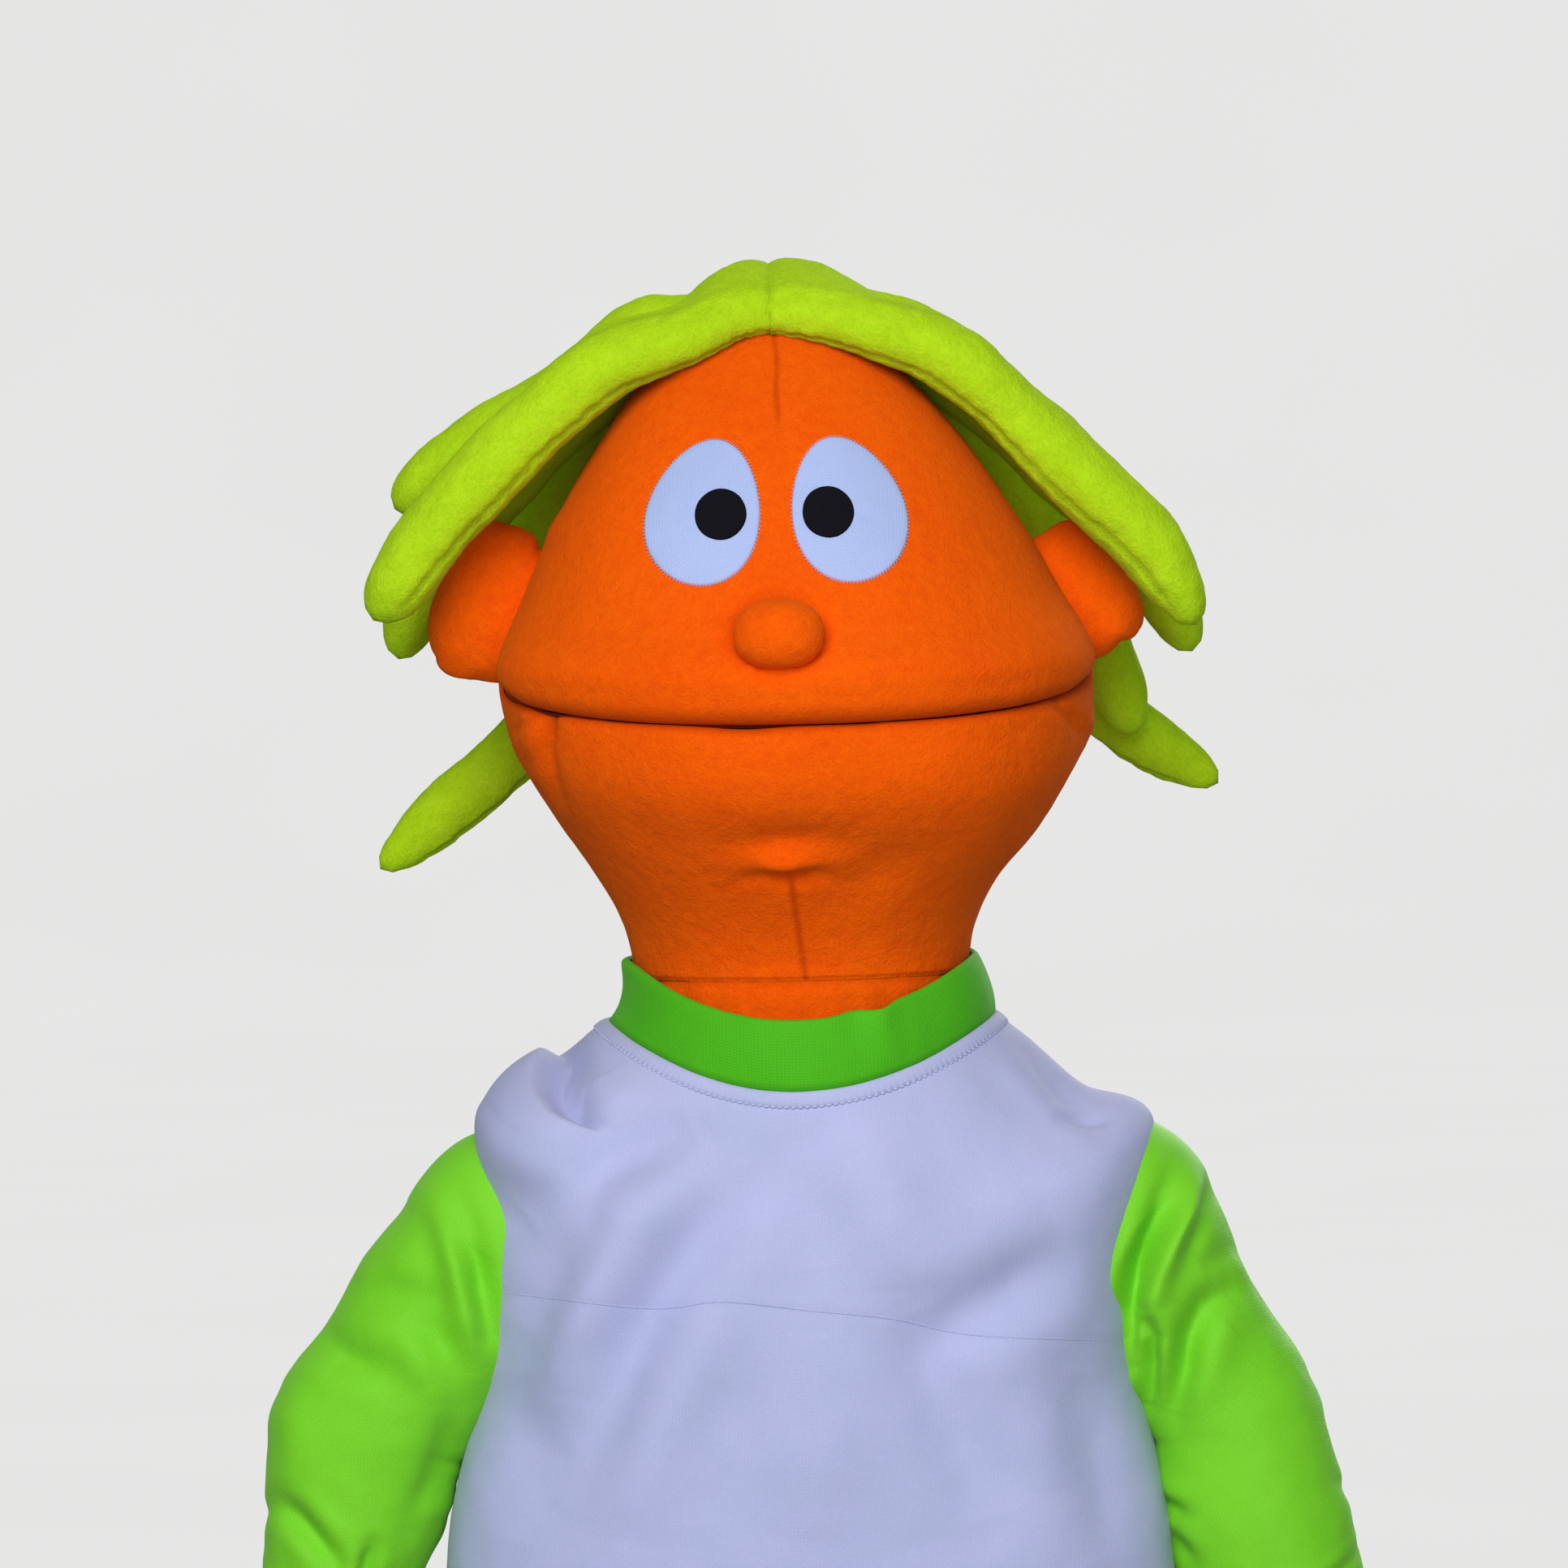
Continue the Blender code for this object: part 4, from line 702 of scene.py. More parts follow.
def make_neck():
    rows, cols = 46, 200
    z = np.linspace(NECK_TOP_Z, NECK_FOOT_Z, rows)[:, None]
    a = around(cols)[None, :]
    r = np.interp(z, [NECK_FOOT_Z, 0.335, 0.356, 0.3605, NECK_TOP_Z],
                  [0.0600, 0.0640, 0.0655, 0.0649, 0.0630])
    r = r + 0.0004 * np.cos(26 * a + 2 * np.sin(3 * a)) * bell(z - 0.352, 0.008)
    grid = lean(ring_points(r, a, z))
    grid = grid + grid_normals(grid, True) * (0.6 * skin_noise(grid, 31))[..., None]
    seam = 0.3 * bell(z - NECK_SEAM_Z, 0.0018) + 0 * r
    cover = piece("neck_cover", grid, quads(rows, cols, True), ORANGE, seam)
    thicken(cover, FLEECE_THICK)
    belong(cover, None, "orange_fleece", "neck_tube")
    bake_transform(cover)


def skin_of(obj):
    return BVHTree.FromPolygons([v.co.copy() for v in obj.data.vertices],
                                [p.vertices[:] for p in obj.data.polygons])


HEAD_TREE = skin_of(make_head())
make_jaw()
make_neck()


def on_face(x, z):
    """The head's skin straight ahead of a place, and its normal."""
    place, normal, _, _ = HEAD_TREE.ray_cast(Vector((x, -0.4, z)), Vector((0, 1, 0)))
    return np.array(place), np.array(normal if normal.y < 0 else -normal)


# Face

def egg(angle, sign, half_width, half_height, tilt, heavy):
    """The outline of an eye: an egg, wider below, its top leaning to the middle of the face."""
    u = half_width * np.sin(angle) * (1 - heavy * np.cos(angle))
    v = half_height * np.cos(angle)
    return u * math.cos(tilt) - sign * v * math.sin(tilt), sign * u * math.sin(tilt) + v * math.cos(tilt)


# A sewn patch from its middle to its edge: shares of its outline, and shares of its thickness there
PATCH_SHARES = np.r_[np.linspace(0.06, 0.9, 11), 0.95, 0.975, 0.992, 1.0, 1.004]
PATCH_HEIGHTS = np.r_[np.full(11, 1.0), 0.97, 0.85, 0.6, 0.15, -0.6]


def patch(name, x, z, outline, thick, crown, cloth, slot, node, lift=0.0):
    """A piece of cloth sewn flat on the face, with a rounded edge."""
    cols = 84
    u, v = outline(around(cols, 0))
    points, seams = [], []
    for share, height in zip(PATCH_SHARES, PATCH_HEIGHTS):
        for du, dv in zip(u, v):
            place, normal = on_face(x + du * share, z + dv * share)
            points.append(place + normal * (lift + thick * height + crown * (1 - share * share)))
            seams.append(0.75 * float(ease(share, 0.972, 1.0)))
    place, normal = on_face(x, z)
    points = np.array(points + [place + normal * (lift + thick + crown)])
    points[:, 1] += 0.00012 * noise(points, 0.004, 41)
    faces = quads(len(PATCH_SHARES), cols, True) + fan(len(PATCH_SHARES) * cols, cols)
    return belong(piece(name, points, faces, cloth, seams + [0]), "head", slot, node)


def stitches(name, places, normals, ways, length, radius, thread, body, slot):
    """Short thread stitches: each a small capsule, half sunk, along its way."""
    points, faces = [], []
    rings = cols = 7
    for place, normal, way in zip(places, normals, ways):
        way = unit(np.asarray(way))
        side = unit(np.cross(normal, way))
        up = np.cross(way, side)
        base = len(points)
        for t in np.linspace(-1, 1, rings):
            fat = radius * math.sqrt(max(0.03, 1 - abs(t)**3))
            middle = place + way * length / 2 * t + up * 0.6 * radius * (1 - t * t)
            points += [middle + (side * math.cos(b) + up * math.sin(b)) * fat for b in around(cols, 0)]
        faces += quads(rings, cols, True, base)
        end = base + rings * cols
        faces += [tuple(range(base, base + cols)), tuple(range(end - 1, end - cols - 1, -1))]
    return belong(piece(name, points, faces, thread), body, slot)


EYE_X, EYE_Z = 0.0275, MOUTH_Z + HEAD_TALL * 0.434
PUPIL_X, PUPIL_Z = 0.0206, MOUTH_Z + HEAD_TALL * 0.420
PUPIL_RADIUS, PUPIL_ASIDE, PUPIL_LIFT = 0.0098, 0.0005, 0.0021
EYE_HALF_WIDE, EYE_HALF_TALL, EYE_TILT, EYE_HEAVY = 0.0218, 0.0286, math.radians(15), 0.17
# Thickness of each felt, and how much more it is in the middle
EYE_FELT, PUPIL_FELT = (0.0013, 0.0012), (0.0010, 0.0005)
EYE_STITCHES, EYE_STITCH_LONG, EYE_STITCH_RADIUS = 120, 0.0014, 0.00018


def make_eye(side, sign):
    def outline(a):
        return egg(a, sign, EYE_HALF_WIDE, EYE_HALF_TALL, EYE_TILT, EYE_HEAVY)

    def circle(a):
        r = PUPIL_RADIUS * (1 - 0.02 * sign * np.sin(2 * a) + 0.003 * np.sin(5 * a))
        return r * np.sin(a), r * np.cos(a)

    x = sign * EYE_X + FACE_X
    white = patch(side + "_eye", x, EYE_Z, outline, *EYE_FELT, FELT_WHITE, "eye_felt", side + "_eye_white")
    pupil = patch(side + "_eye_pupil", sign * PUPIL_X + FACE_X - PUPIL_ASIDE, PUPIL_Z, circle, *PUPIL_FELT,
                  FELT_BLACK, "pupil_felt", side + "_pupil", PUPIL_LIFT)
    u, v = outline(around(EYE_STITCHES, 0))
    edge = np.stack([u, 0 * u, v], -1)
    ways = unit(edge) + 0.55 * unit(np.roll(edge, -1, 0) - edge)
    places, normals = zip(*(on_face(x + du, EYE_Z + dv) for du, dv in zip(u, v)))
    places = [place + normal * 0.0005 for place, normal in zip(places, normals)]
    stitches(side + "_eye_stitches", places, normals, ways, EYE_STITCH_LONG, EYE_STITCH_RADIUS, EYE_THREAD,
             "head", "eye_felt")


def make_nose():
    rows, cols = 44, 64
    d = ball_grid(rows, cols)
    place, _ = on_face(FACE_X, NOSE_Z)
    grid = np.abs(d)**0.9 * np.sign(d) * NOSE_SIZE
    grid[..., 2] -= 0.0012 * ease(-grid[..., 1], 0, 0.014)
    grid = grid + np.array((FACE_X, place[1] - 0.0035, NOSE_Z + 0.0004))
    gather = np.arctan2(d[..., 2], d[..., 0])
    pleat = 0.0007 * np.cos(17 * gather + np.sin(5 * gather)) * ease(d[..., 1], -0.25, 0.55)
    grid = grid + d * (pleat + layers(grid, (0.0006, 0.012, 51), (0.00018, 0.004, 52)))[..., None]
    # Painted shade on the back of the nose, where it meets the face
    nose = piece("nose_ball", grid, quads(rows, cols, True), ORANGE, 0.5 * ease(d[..., 1], 0.1, 0.6))
    belong(nose, "head", "orange_fleece", "nose")


# Each ear's tilt in degrees, half-width, half-height, how much its lower end is fuller, how square it is and
# how far it stands out
EAR_FORMS = {
    "right": (8, 0.0222, 0.0345, 0.13, 0.76, 0.0040),
    "left": (-30, 0.0185, 0.0298, 0.02, 0.84, 0.0050),
}
EAR_VOXEL, EAR_SWELL, EAR_SMOOTH = 0.0024, 0.009, 12
EAR_WIDER, EAR_TALLER, EAR_INNER, EAR_HALF_THICK = 1.17, 1.07, 1.35, 0.0055


def make_ear(side, sign):
    low, high = (np.array(v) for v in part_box(side + "_ear"))
    centre = (low + high) / 2
    tilt, wide, tall, heavy, square, further = EAR_FORMS[side]
    centre[0] += sign * further
    rows, cols = 48, 72
    d = ball_grid(rows, cols)
    u, v = (np.sign(k) * np.abs(k)**square for k in (d[..., 0], d[..., 2]))
    thick = EAR_HALF_THICK * np.sign(d[..., 1]) * np.abs(d[..., 1])**0.5
    x = EAR_WIDER * u * wide * (1 - heavy * v) * np.where(np.sign(u) == sign, 1.0, EAR_INNER)
    z = EAR_TALLER * v * tall
    t = math.radians(tilt)
    flat = np.stack([x * math.cos(t) + z * math.sin(t), thick,
                     -x * math.sin(t) + z * math.cos(t)], -1) + centre
    points, normals, faces = stuff(flat, quads(rows, cols, True), EAR_VOXEL, EAR_SWELL, EAR_SMOOTH)
    edge = points[:, 1] - centre[1]
    soft = layers(points, (0.0008, 0.022, 61 + sign), (0.0003, 0.007, 63))
    points = points + normals * (soft - 0.0006 * bell(edge, 0.0012))[:, None]
    ear = piece(side + "_ear_pad", points, faces, ORANGE, 0.4 * bell(edge, 0.0009))
    belong(ear, "head", "orange_fleece", side + "_ear")


for side, sign in SIDES:
    make_eye(side, sign)
make_nose()
for side, sign in SIDES:
    make_ear(side, sign)


# Hair: each lock's root on the parting as a share of the head's depth, then points as shares of the head's
# half-width, its depth and its height above the mouth, as in the solids

LOCKS = (
    (-0.21, ((0.31, -0.29, 0.95), (0.55, -0.29, 0.85), (0.76, -0.29, 0.68), (0.97, -0.28, 0.49),
             (1.19, -0.27, 0.30), (1.37, -0.25, 0.15))),
    (-0.01, ((0.30, -0.05, 1.00), (0.56, -0.02, 0.90), (0.82, 0.00, 0.74), (1.06, 0.03, 0.60),
             (1.30, 0.05, 0.46))),
    (0.19, ((0.30, 0.20, 0.97), (0.55, 0.28, 0.83), (0.78, 0.36, 0.66), (1.00, 0.43, 0.48),
            (1.20, 0.50, 0.27), (1.31, 0.54, 0.04))),
    (0.37, ((0.27, 0.46, 0.87), (0.50, 0.58, 0.72), (0.72, 0.69, 0.52), (0.92, 0.76, 0.28),
            (1.08, 0.82, 0.00), (1.18, 0.84, -0.22))),
    (0.55, ((0.25, 0.67, 0.72), (0.47, 0.84, 0.54), (0.65, 0.98, 0.27), (0.83, 1.05, -0.02),
            (1.00, 1.10, -0.28), (1.30, 1.00, -0.54))),
    (0.70, ((0.23, 0.86, 0.47), (0.40, 1.02, 0.25), (0.47, 1.14, -0.02), (0.52, 1.18, -0.28),
            (0.53, 1.17, -0.50))),
    (0.88, ((0.13, 1.04, 0.10), (0.15, 1.15, -0.08), (0.17, 1.19, -0.30), (0.16, 1.17, -0.50))),
)
LOCK_RADIUS = 0.0135
# How far each side's locks are moved at those points to lie as the photograph shows them, along X, Y and Z
LOCK_MOVES = {
    ("right", 1): ((0, 0, -0.004), (0, 0, 0.001), (0, 0, 0.006), (0, 0, 0.0105), (0, 0, 0.009),
                   (0, 0, 0.001)),
    ("left", 1): ((0, 0, -0.003), (0, 0, 0), (0, 0, 0.002), (0.001, 0, 0.003), (0.002, 0, 0.003),
                  (-0.001, 0, -0.008)),
    ("right", 2): ((0, 0, -0.009), (0, 0, -0.006), (0, 0, -0.003), (0, 0, 0), (0, 0, 0)),
    ("left", 2): ((0, 0, -0.007), (0, 0, -0.007), (0, 0.004, -0.012), (-0.004, 0.006, -0.016),
                  (-0.014, 0.006, -0.012)),
    ("right", 3): ((0, 0, -0.007), (0, 0, -0.004), (0, 0, 0), (0, 0, 0), (0, 0, 0), (0, 0, 0)),
    ("left", 3): ((0, 0, -0.007), (0, 0, -0.004), (0, 0, 0), (0, 0, 0), (0.003, 0, 0), (0.007, 0, -0.004)),
    ("right", 4): ((0, 0, -0.003), (0, 0, 0), (0.003, 0, 0), (-0.003, 0.002, 0), (-0.013, 0.004, 0.012),
                   (-0.022, 0.004, 0.027)),
    ("right", 5): ((0, 0, 0), (0, 0, 0), (0, 0, 0.006), (-0.010, 0, 0.014), (-0.014, 0, 0.014),
                   (0.012, 0, -0.002)),
    ("left", 5): ((0, 0, 0), (0, 0, 0), (0, 0, 0.004), (0, 0, 0.013), (0.006, 0, 0.021), (0.019, 0, 0.025)),
}
STILL = ((0, 0, 0),) * 6
LOCK_ROWS = 92
LOCK_SHARE = np.linspace(0, 1, LOCK_ROWS)
ROOT_RADIUS, LOCK_HIGH, TIP_START = 0.0108, 0.94, 0.82
# Places along X and heights off the scalp where a lock starts
LOCK_START = ((-0.0008, 0.0062), (0.0130, 0.0068))
FRONT_LOCKS, BACK_LOCKS = (1, 2, 3), (4, 5, 6, 7)


def parting_at(share):
    deep, power = (HEAD_BACK, BACK_POWER) if share > 0 else (HEAD_FRONT, FRONT_POWER)
    r = abs(share)**(1 / power)
    return np.array((0.0, share * deep, MOUTH_Z + HEAD_TALL * (1 - r * r)))


def on_parting(share):
    """The scalp on the parting at a share of the head's depth, and its normal."""
    place = parting_at(share)
    way = unit(parting_at(share + 1e-3) - place)
    return place, np.array((0.0, -way[2], way[1]))


def lock_seed(number, sign):
    return 70 + 2 * number + (sign > 0)


def along_lock(scale, offset=0):
    return np.stack([LOCK_SHARE * scale, 0 * LOCK_SHARE, 0 * LOCK_SHARE + offset], 1)


def lock_path(side, sign, number):
    """A lock's middle line on the +X side, its directions away from the head and across, and its radius."""
    root_share, marks = LOCKS[number - 1]
    scalp, normal = on_parting(root_share)
    root_x = sign * np.interp(scalp[2], *LEAN)
    route = [scalp + normal * high + np.array((x + root_x, 0, 0)) for x, high in LOCK_START]
    for (across, deep, high), move in zip(marks, LOCK_MOVES.get((side, number), STILL)):
        depth = HEAD_BACK if deep > 0 else HEAD_FRONT
        route.append(np.array((across * HEAD_WIDE, deep * depth, MOUTH_Z + HEAD_TALL * high))
                     + np.array(move))
    line = spline(route, LOCK_ROWS)
    full = LOCK_RADIUS + (0.0012 if number == 1 else 0)
    slim = 0.18 if number == 5 else 0
    radius = ROOT_RADIUS + (full - ROOT_RADIUS) * ease(LOCK_SHARE, 0.08, 0.42)
    radius = radius * (1 - slim * ease(LOCK_SHARE, 0.3, 0.6))
    radius = radius * (1 + 0.06 * noise(along_lock(4), 1.0, lock_seed(number, sign)))
    clear = -0.005 + (radius + 0.0060) * ease(LOCK_SHARE, 0.10, 0.34)
    out = np.zeros_like(line)
    flip = np.array((sign, 1, 1))
    for i in range(LOCK_ROWS):
        mirrored = Vector(line[i] * flip)
        for _ in range(5):
            place, way, _, gap = HEAD_TREE.find_nearest(mirrored)
            gap = -gap if (mirrored - place).dot(way) < 0 else gap
            if gap < clear[i]:
                mirrored = mirrored + way * (clear[i] - gap)
        line[i] = np.array(mirrored) * flip
        out[i] = np.array(way) * flip
    for _ in range(8):
        line[2:-1] = (line[1:-2] + 2 * line[2:-1] + line[3:]) / 4
        out[1:-1] = unit(out[:-2] + 2 * out[1:-1] + out[2:])
    tangent = unit(np.gradient(line, axis=0))
    lift = unit(out - (out * tangent).sum(1, keepdims=True) * tangent)
    return line, lift, np.cross(tangent, lift), radius


def hair_noise(grid, wide, seed):
    return layers(grid, (0.0012, wide, seed), (0.0006, 0.010, seed + 1), (0.00028, 0.0035, seed + 2))


def make_lock(side, sign, number):
    line, lift, across, radius = lock_path(side, sign, number)
    seed = lock_seed(number, sign)
    cols = 52
    tip = np.clip((LOCK_SHARE - TIP_START) / (1 - TIP_START), 0, 1)
    close = np.sqrt(np.maximum(0.0, 1 - tip**2.4))
    size = radius * close * (0.80 + 0.20 * ease(LOCK_SHARE, 0, 0.05))
    broad = size * (1.10 + 0.10 * (1 - ease(LOCK_SHARE, 0.1, 0.4)))
    turn = around(cols, 0)
    grid = (line[:, None] + lift[:, None] * (LOCK_HIGH * size[:, None] * np.cos(turn))[..., None]
            + across[:, None] * (broad[:, None] * np.sin(turn))[..., None])

    def off(at):
        return np.angle(np.exp(1j * (turn - at)))

    lower = math.pi * 0.68 * (1 if across[LOCK_ROWS // 2, 2] < 0 else -1)
    seam = bell(off(lower), 0.10) * (1 - ease(LOCK_SHARE, 0.9, 0.97))[:, None]
    crease_at = (0.35 + 0.25 * noise(along_lock(5, seed), 1.0, seed + 3))[:, None]
    crease = bell(off(-np.sign(lower) * crease_at), 0.16) * bell(LOCK_SHARE - 0.3, 0.28)[:, None]
    pucker = bell(off(lower), 0.5) * np.cos(LOCK_SHARE * 150 + 4 * noise(grid, 0.02, seed + 4)[:, 0])[:, None]
    relief = hair_noise(grid, 0.024, seed) - 0.0013 * seam - 0.0011 * crease + 0.00035 * pucker
    grid = grid + unit(grid - line[:, None]) * (relief * np.minimum(1, close * 1.5)[:, None])[..., None]
    grid[..., 0] *= sign
    grid[-1] = grid[-1].mean(0)
    points = np.vstack([grid.reshape(-1, 3), grid[0].mean(0)])
    faces = quads(LOCK_ROWS, cols, True) + fan(LOCK_ROWS * cols, cols)
    # The seam along the lock's underside is darker, and its crease is painted in shade
    shade = np.append((0.5 * seam + 0.25 * crease).ravel(), 0)
    lock = piece(f"{side}_hair_{number}", points, faces, LIME, shade)
    bm = bmesh.new()
    bm.from_mesh(lock.data)
    bmesh.ops.remove_doubles(bm, verts=bm.verts, dist=1e-6)
    bm.to_mesh(lock.data)
    bm.free()
    belong(lock, side + "_hair" if number in FRONT_LOCKS else "head", "hair_fleece", f"{side}_lock_{number}")


def make_crown(name, side, sign, numbers, body, rows, thin):
    """The fleece that one side's locks grow from: a rolled pad over their roots, sewn along the parting."""
    arc = np.radians(np.linspace(-90, 90, 12))
    paths = [lock_path(side, sign, n) for n in numbers]
    lines = np.stack([p[0][:rows] for p in paths])
    lifts = np.stack([p[1][:rows] for p in paths])
    share = LOCK_SHARE[:rows]
    body_share = 0.74 + 0.32 * np.sqrt(1 - np.square(1 - np.clip(share / 0.045, 0, 1)))
    thick = LOCK_HIGH * paths[0][3][:rows] * body_share * (1.0 - 0.72 * ease(share, 0.13, 0.40))
    thick = thick * (1 - ease(share, *thin))
    thick = np.maximum(thick, 0.0004)[None, :, None]
    last = len(numbers) - 1
    at = np.linspace(0, last, 14 * last + 1)
    middle = catmull(lines, at)
    up = unit(catmull(lifts, at))
    ring = []
    for end, near, way in ((0, 1, 1), (-1, -2, -1)):
        out = middle[end] - middle[near]
        out = unit(out - (out * up[end]).sum(-1, keepdims=True) * up[end])
        ring.append([middle[end] + thick[0] * (math.cos(t) * out + math.sin(t) * up[end])
                     for t in arc[::way]])
    top = middle[1:-1] + thick * up[1:-1]
    under = (middle[1:-1:3] - thick * up[1:-1:3])[::-1]
    grid = np.concatenate([ring[0], top, ring[1], under]).transpose(1, 0, 2)
    cols = grid.shape[1]
    seed = 140 + 2 * numbers[0] + (sign > 0)
    out = unit(grid - catmull(lines, np.array([last / 2]))[0][:, None])
    relief = hair_noise(grid, 0.026, seed)
    ruffle = 0.0009 * noise(grid, 0.008, seed + 3)
    ruffle[:, len(arc):] *= 0.3
    grid = grid + out * ((relief + ruffle) * ease(thick[0, :, 0], 0, 0.006)[:, None])[..., None]
    grid[..., 0] *= sign
    points = np.vstack([grid.reshape(-1, 3), grid[0].mean(0), grid[-1].mean(0)])
    shade = np.append(np.repeat(0.5 * bell(share, 0.008), cols), (0.6, 0))
    belong(piece(name, points, closed(rows, cols), LIME, shade), body, "hair_fleece")


PARTING_HALF_WIDE, PARTING_HIGH = 0.0020, 0.0070
# Half of the parting strip's outline, from its foot to its middle: shares of its half-width and of its height
STRIP_HALF = ((-1, 0), (-1.0, 0.25), (-0.95, 0.5), (-0.9, 0.75), (-0.75, 0.92), (-0.45, 1.0), (-0.15, 0.97))


def make_parting():
    """The seam allowance that stands along the parting: two layers of fleece sewn together."""
    rows = 90
    profile = np.array([*STRIP_HALF, (0, 0.90), *((-across, high) for across, high in reversed(STRIP_HALF))])
    cols = len(profile)
    grid = np.zeros((rows, cols, 3))
    for i, share in enumerate(np.linspace(-0.25, 0.93, rows)):
        scalp, normal = on_parting(share)
        end = min(1.0, 6 * min(i, rows - 1 - i) / rows + 0.25)
        wave = 0.0008 * math.sin(i * 0.55) + 0.0006 * math.sin(i * 0.23 + 1)
        for j, (across, high) in enumerate(profile):
            x = PARTING_HALF_WIDE * across + 0.5 * wave * high + np.interp(scalp[2], *LEAN)
            grid[i, j] = scalp + normal * (0.0004 + PARTING_HIGH * high * end) + np.array((x, 0, 0))
    seam = 0.6 * bell(np.broadcast_to(profile[:, 0], (rows, cols)), 0.2)
    strip = piece("hair_parting", grid, quads(rows, cols), LIME, seam)
    belong(strip, "head", "hair_fleece", "hair_part_strip")


for side, sign in SIDES:
    for number in range(1, len(LOCKS) + 1):
        make_lock(side, sign, number)
    make_crown(side + "_hair_crown", side, sign, FRONT_LOCKS, side + "_hair", 76, (0.58, 0.815))
    make_crown(side + "_hair_nape", side, sign, BACK_LOCKS, "head", 54, (0.40, 0.58))
make_parting()


# Shirt

# The collar's edges, then rings of the shirt from the neck to the hem: half-widths on -X and +X, depth, and
# heights at the side, front and back
COLLAR_LOW = (0.0745, 0.0800, 0.0800, 0.344, 0.3175, 0.345)
COLLAR_HIGH = (0.0676, 0.0740, 0.0792, 0.367, 0.3445, 0.371)
SHIRT_RINGS = (
    (0.0742, 0.0795, 0.0795, 0.344, 0.3175, 0.345),
    (0.1030, 0.0985, 0.0834, 0.3270, 0.2895, 0.319),
    (0.1172, 0.1135, 0.0850, 0.3135, 0.2745, 0.2995),
    (0.1232, 0.1395, 0.086, 0.301, 0.259, 0.279),
    (0.1265, 0.1350, 0.086, 0.254, 0.231, 0.241),
    (0.1265, 0.1320, 0.086, 0.205, 0.193, 0.197),
    (0.1390, 0.1420, 0.086, 0.1477, 0.1477, 0.1477),
    (0.1450, 0.1465, 0.086, 0.0809, 0.0809, 0.0809),
    (0.148, 0.148, 0.086, 0.014, 0.014, 0.014),
    (0.148, 0.148, 0.086, 0.000, 0.000, 0.000),
)
# Folds seen from the front, in pixels of the photograph's frame: points, width and depth (minus stands out)
SHIRT_FOLDS = (
    (((852, 1390), (738, 1436), (650, 1500)), 30, 0.0072),
    (((924, 1444), (852, 1530), (798, 1614), (700, 1860)), 32, 0.0074),
    (((985, 1370), (992, 1450), (1010, 1560)), 36, 0.0030),
    (((1120, 1620), (1170, 1740), (1222, 1870)), 36, 0.0060),
    (((1246, 1262), (1300, 1325), (1350, 1380)), 15, 0.0042),
    (((1306, 1380), (1340, 1379), (1372, 1374)), 7, 0.0022),
    (((1325, 1520), (1245, 1590), (1150, 1650)), 30, 0.0058),
    (((1370, 1470), (1318, 1530), (1240, 1560)), 34, -0.0030),
    (((760, 1500), (700, 1560), (650, 1640)), 26, 0.0034),
    (((1060, 1420), (1100, 1500), (1110, 1590)), 44, -0.0030),
    (((800, 1480), (740, 1590), (700, 1720)), 34, -0.0036),
    (((640, 1690), (660, 1790), (640, 1900)), 30, 0.0040),
    (((1340, 1690), (1352, 1800), (1372, 1920)), 30, 0.0040),
    (((840, 1640), (800, 1760), (770, 1900)), 40, -0.0034),
    (((1010, 1640), (1020, 1760), (1000, 1900)), 44, -0.0030),
)
# The rolled puff beside the collar on the viewer's left: its edge, which hangs over a pocket
PUFF_EDGE = ((684, 1296), (674, 1318), (672, 1342), (682, 1364), (706, 1384), (756, 1396))
CHEST_SEAM = ((560, 1588), (620, 1593), (800, 1612), (890, 1604), (1000, 1615), (1100, 1625), (1200, 1645),
              (1365, 1652), (1440, 1655))
HEM_SEAM_Z, BACK_SEAM_Z = 0.014, 0.290


def shirt_grid(rows, cols):
    rings = np.array(SHIRT_RINGS)
    line = np.vstack([spline(rings[:-1], rows - 12), np.linspace(rings[-2], rings[-1], 13)[1:]])
    a = around(cols)[None, :]
    minus, plus, deep, side, front, back = (line[:, k:k + 1] for k in range(6))
    power = 2.0 + 0.4 * ease(np.arange(rows), 0, rows * 0.2)[:, None]
    r = oval(a, np.where(np.sin(a) > 0, plus, minus), deep, power)
    end = np.where(np.cos(a) > 0, front, back)
    return ring_points(r, a, side + (end - side) * (r * np.abs(np.cos(a)) / deep)**2)


def puff(px, y):
    """The rolled puff by the collar: how far it stands out, and the painted shade in the pocket just under
    its edge.
    """
    edge = spline(PUFF_EDGE, 48)
    gap, share = near_line(px, edge)
    at = np.linspace(0, 1, len(edge))
    dx, dy = (px[..., k] - np.interp(share, at, edge[:, k]) for k in (0, 1))
    along_x, along_y = (np.interp(share, at, np.gradient(edge[:, k])) for k in (0, 1))
    inward = gap * np.sign(along_x * dy - along_y * dx)
    fade = (1 - ease(share, 0.60, 1.0)) * ease(-y, -0.035, 0.020)
    over = ease(inward, -6, 6)
    roll = over * np.sqrt(1 - np.square(1 - np.clip((inward + 20) / 60, 0, 1))) * (1 - ease(inward, 40, 150))
    pocket = (1 - over) * bell(gap, 46)
    return fade * (0.0080 * roll - 0.0095 * pocket), 0.3 * fade * bell(inward + 8, 8)


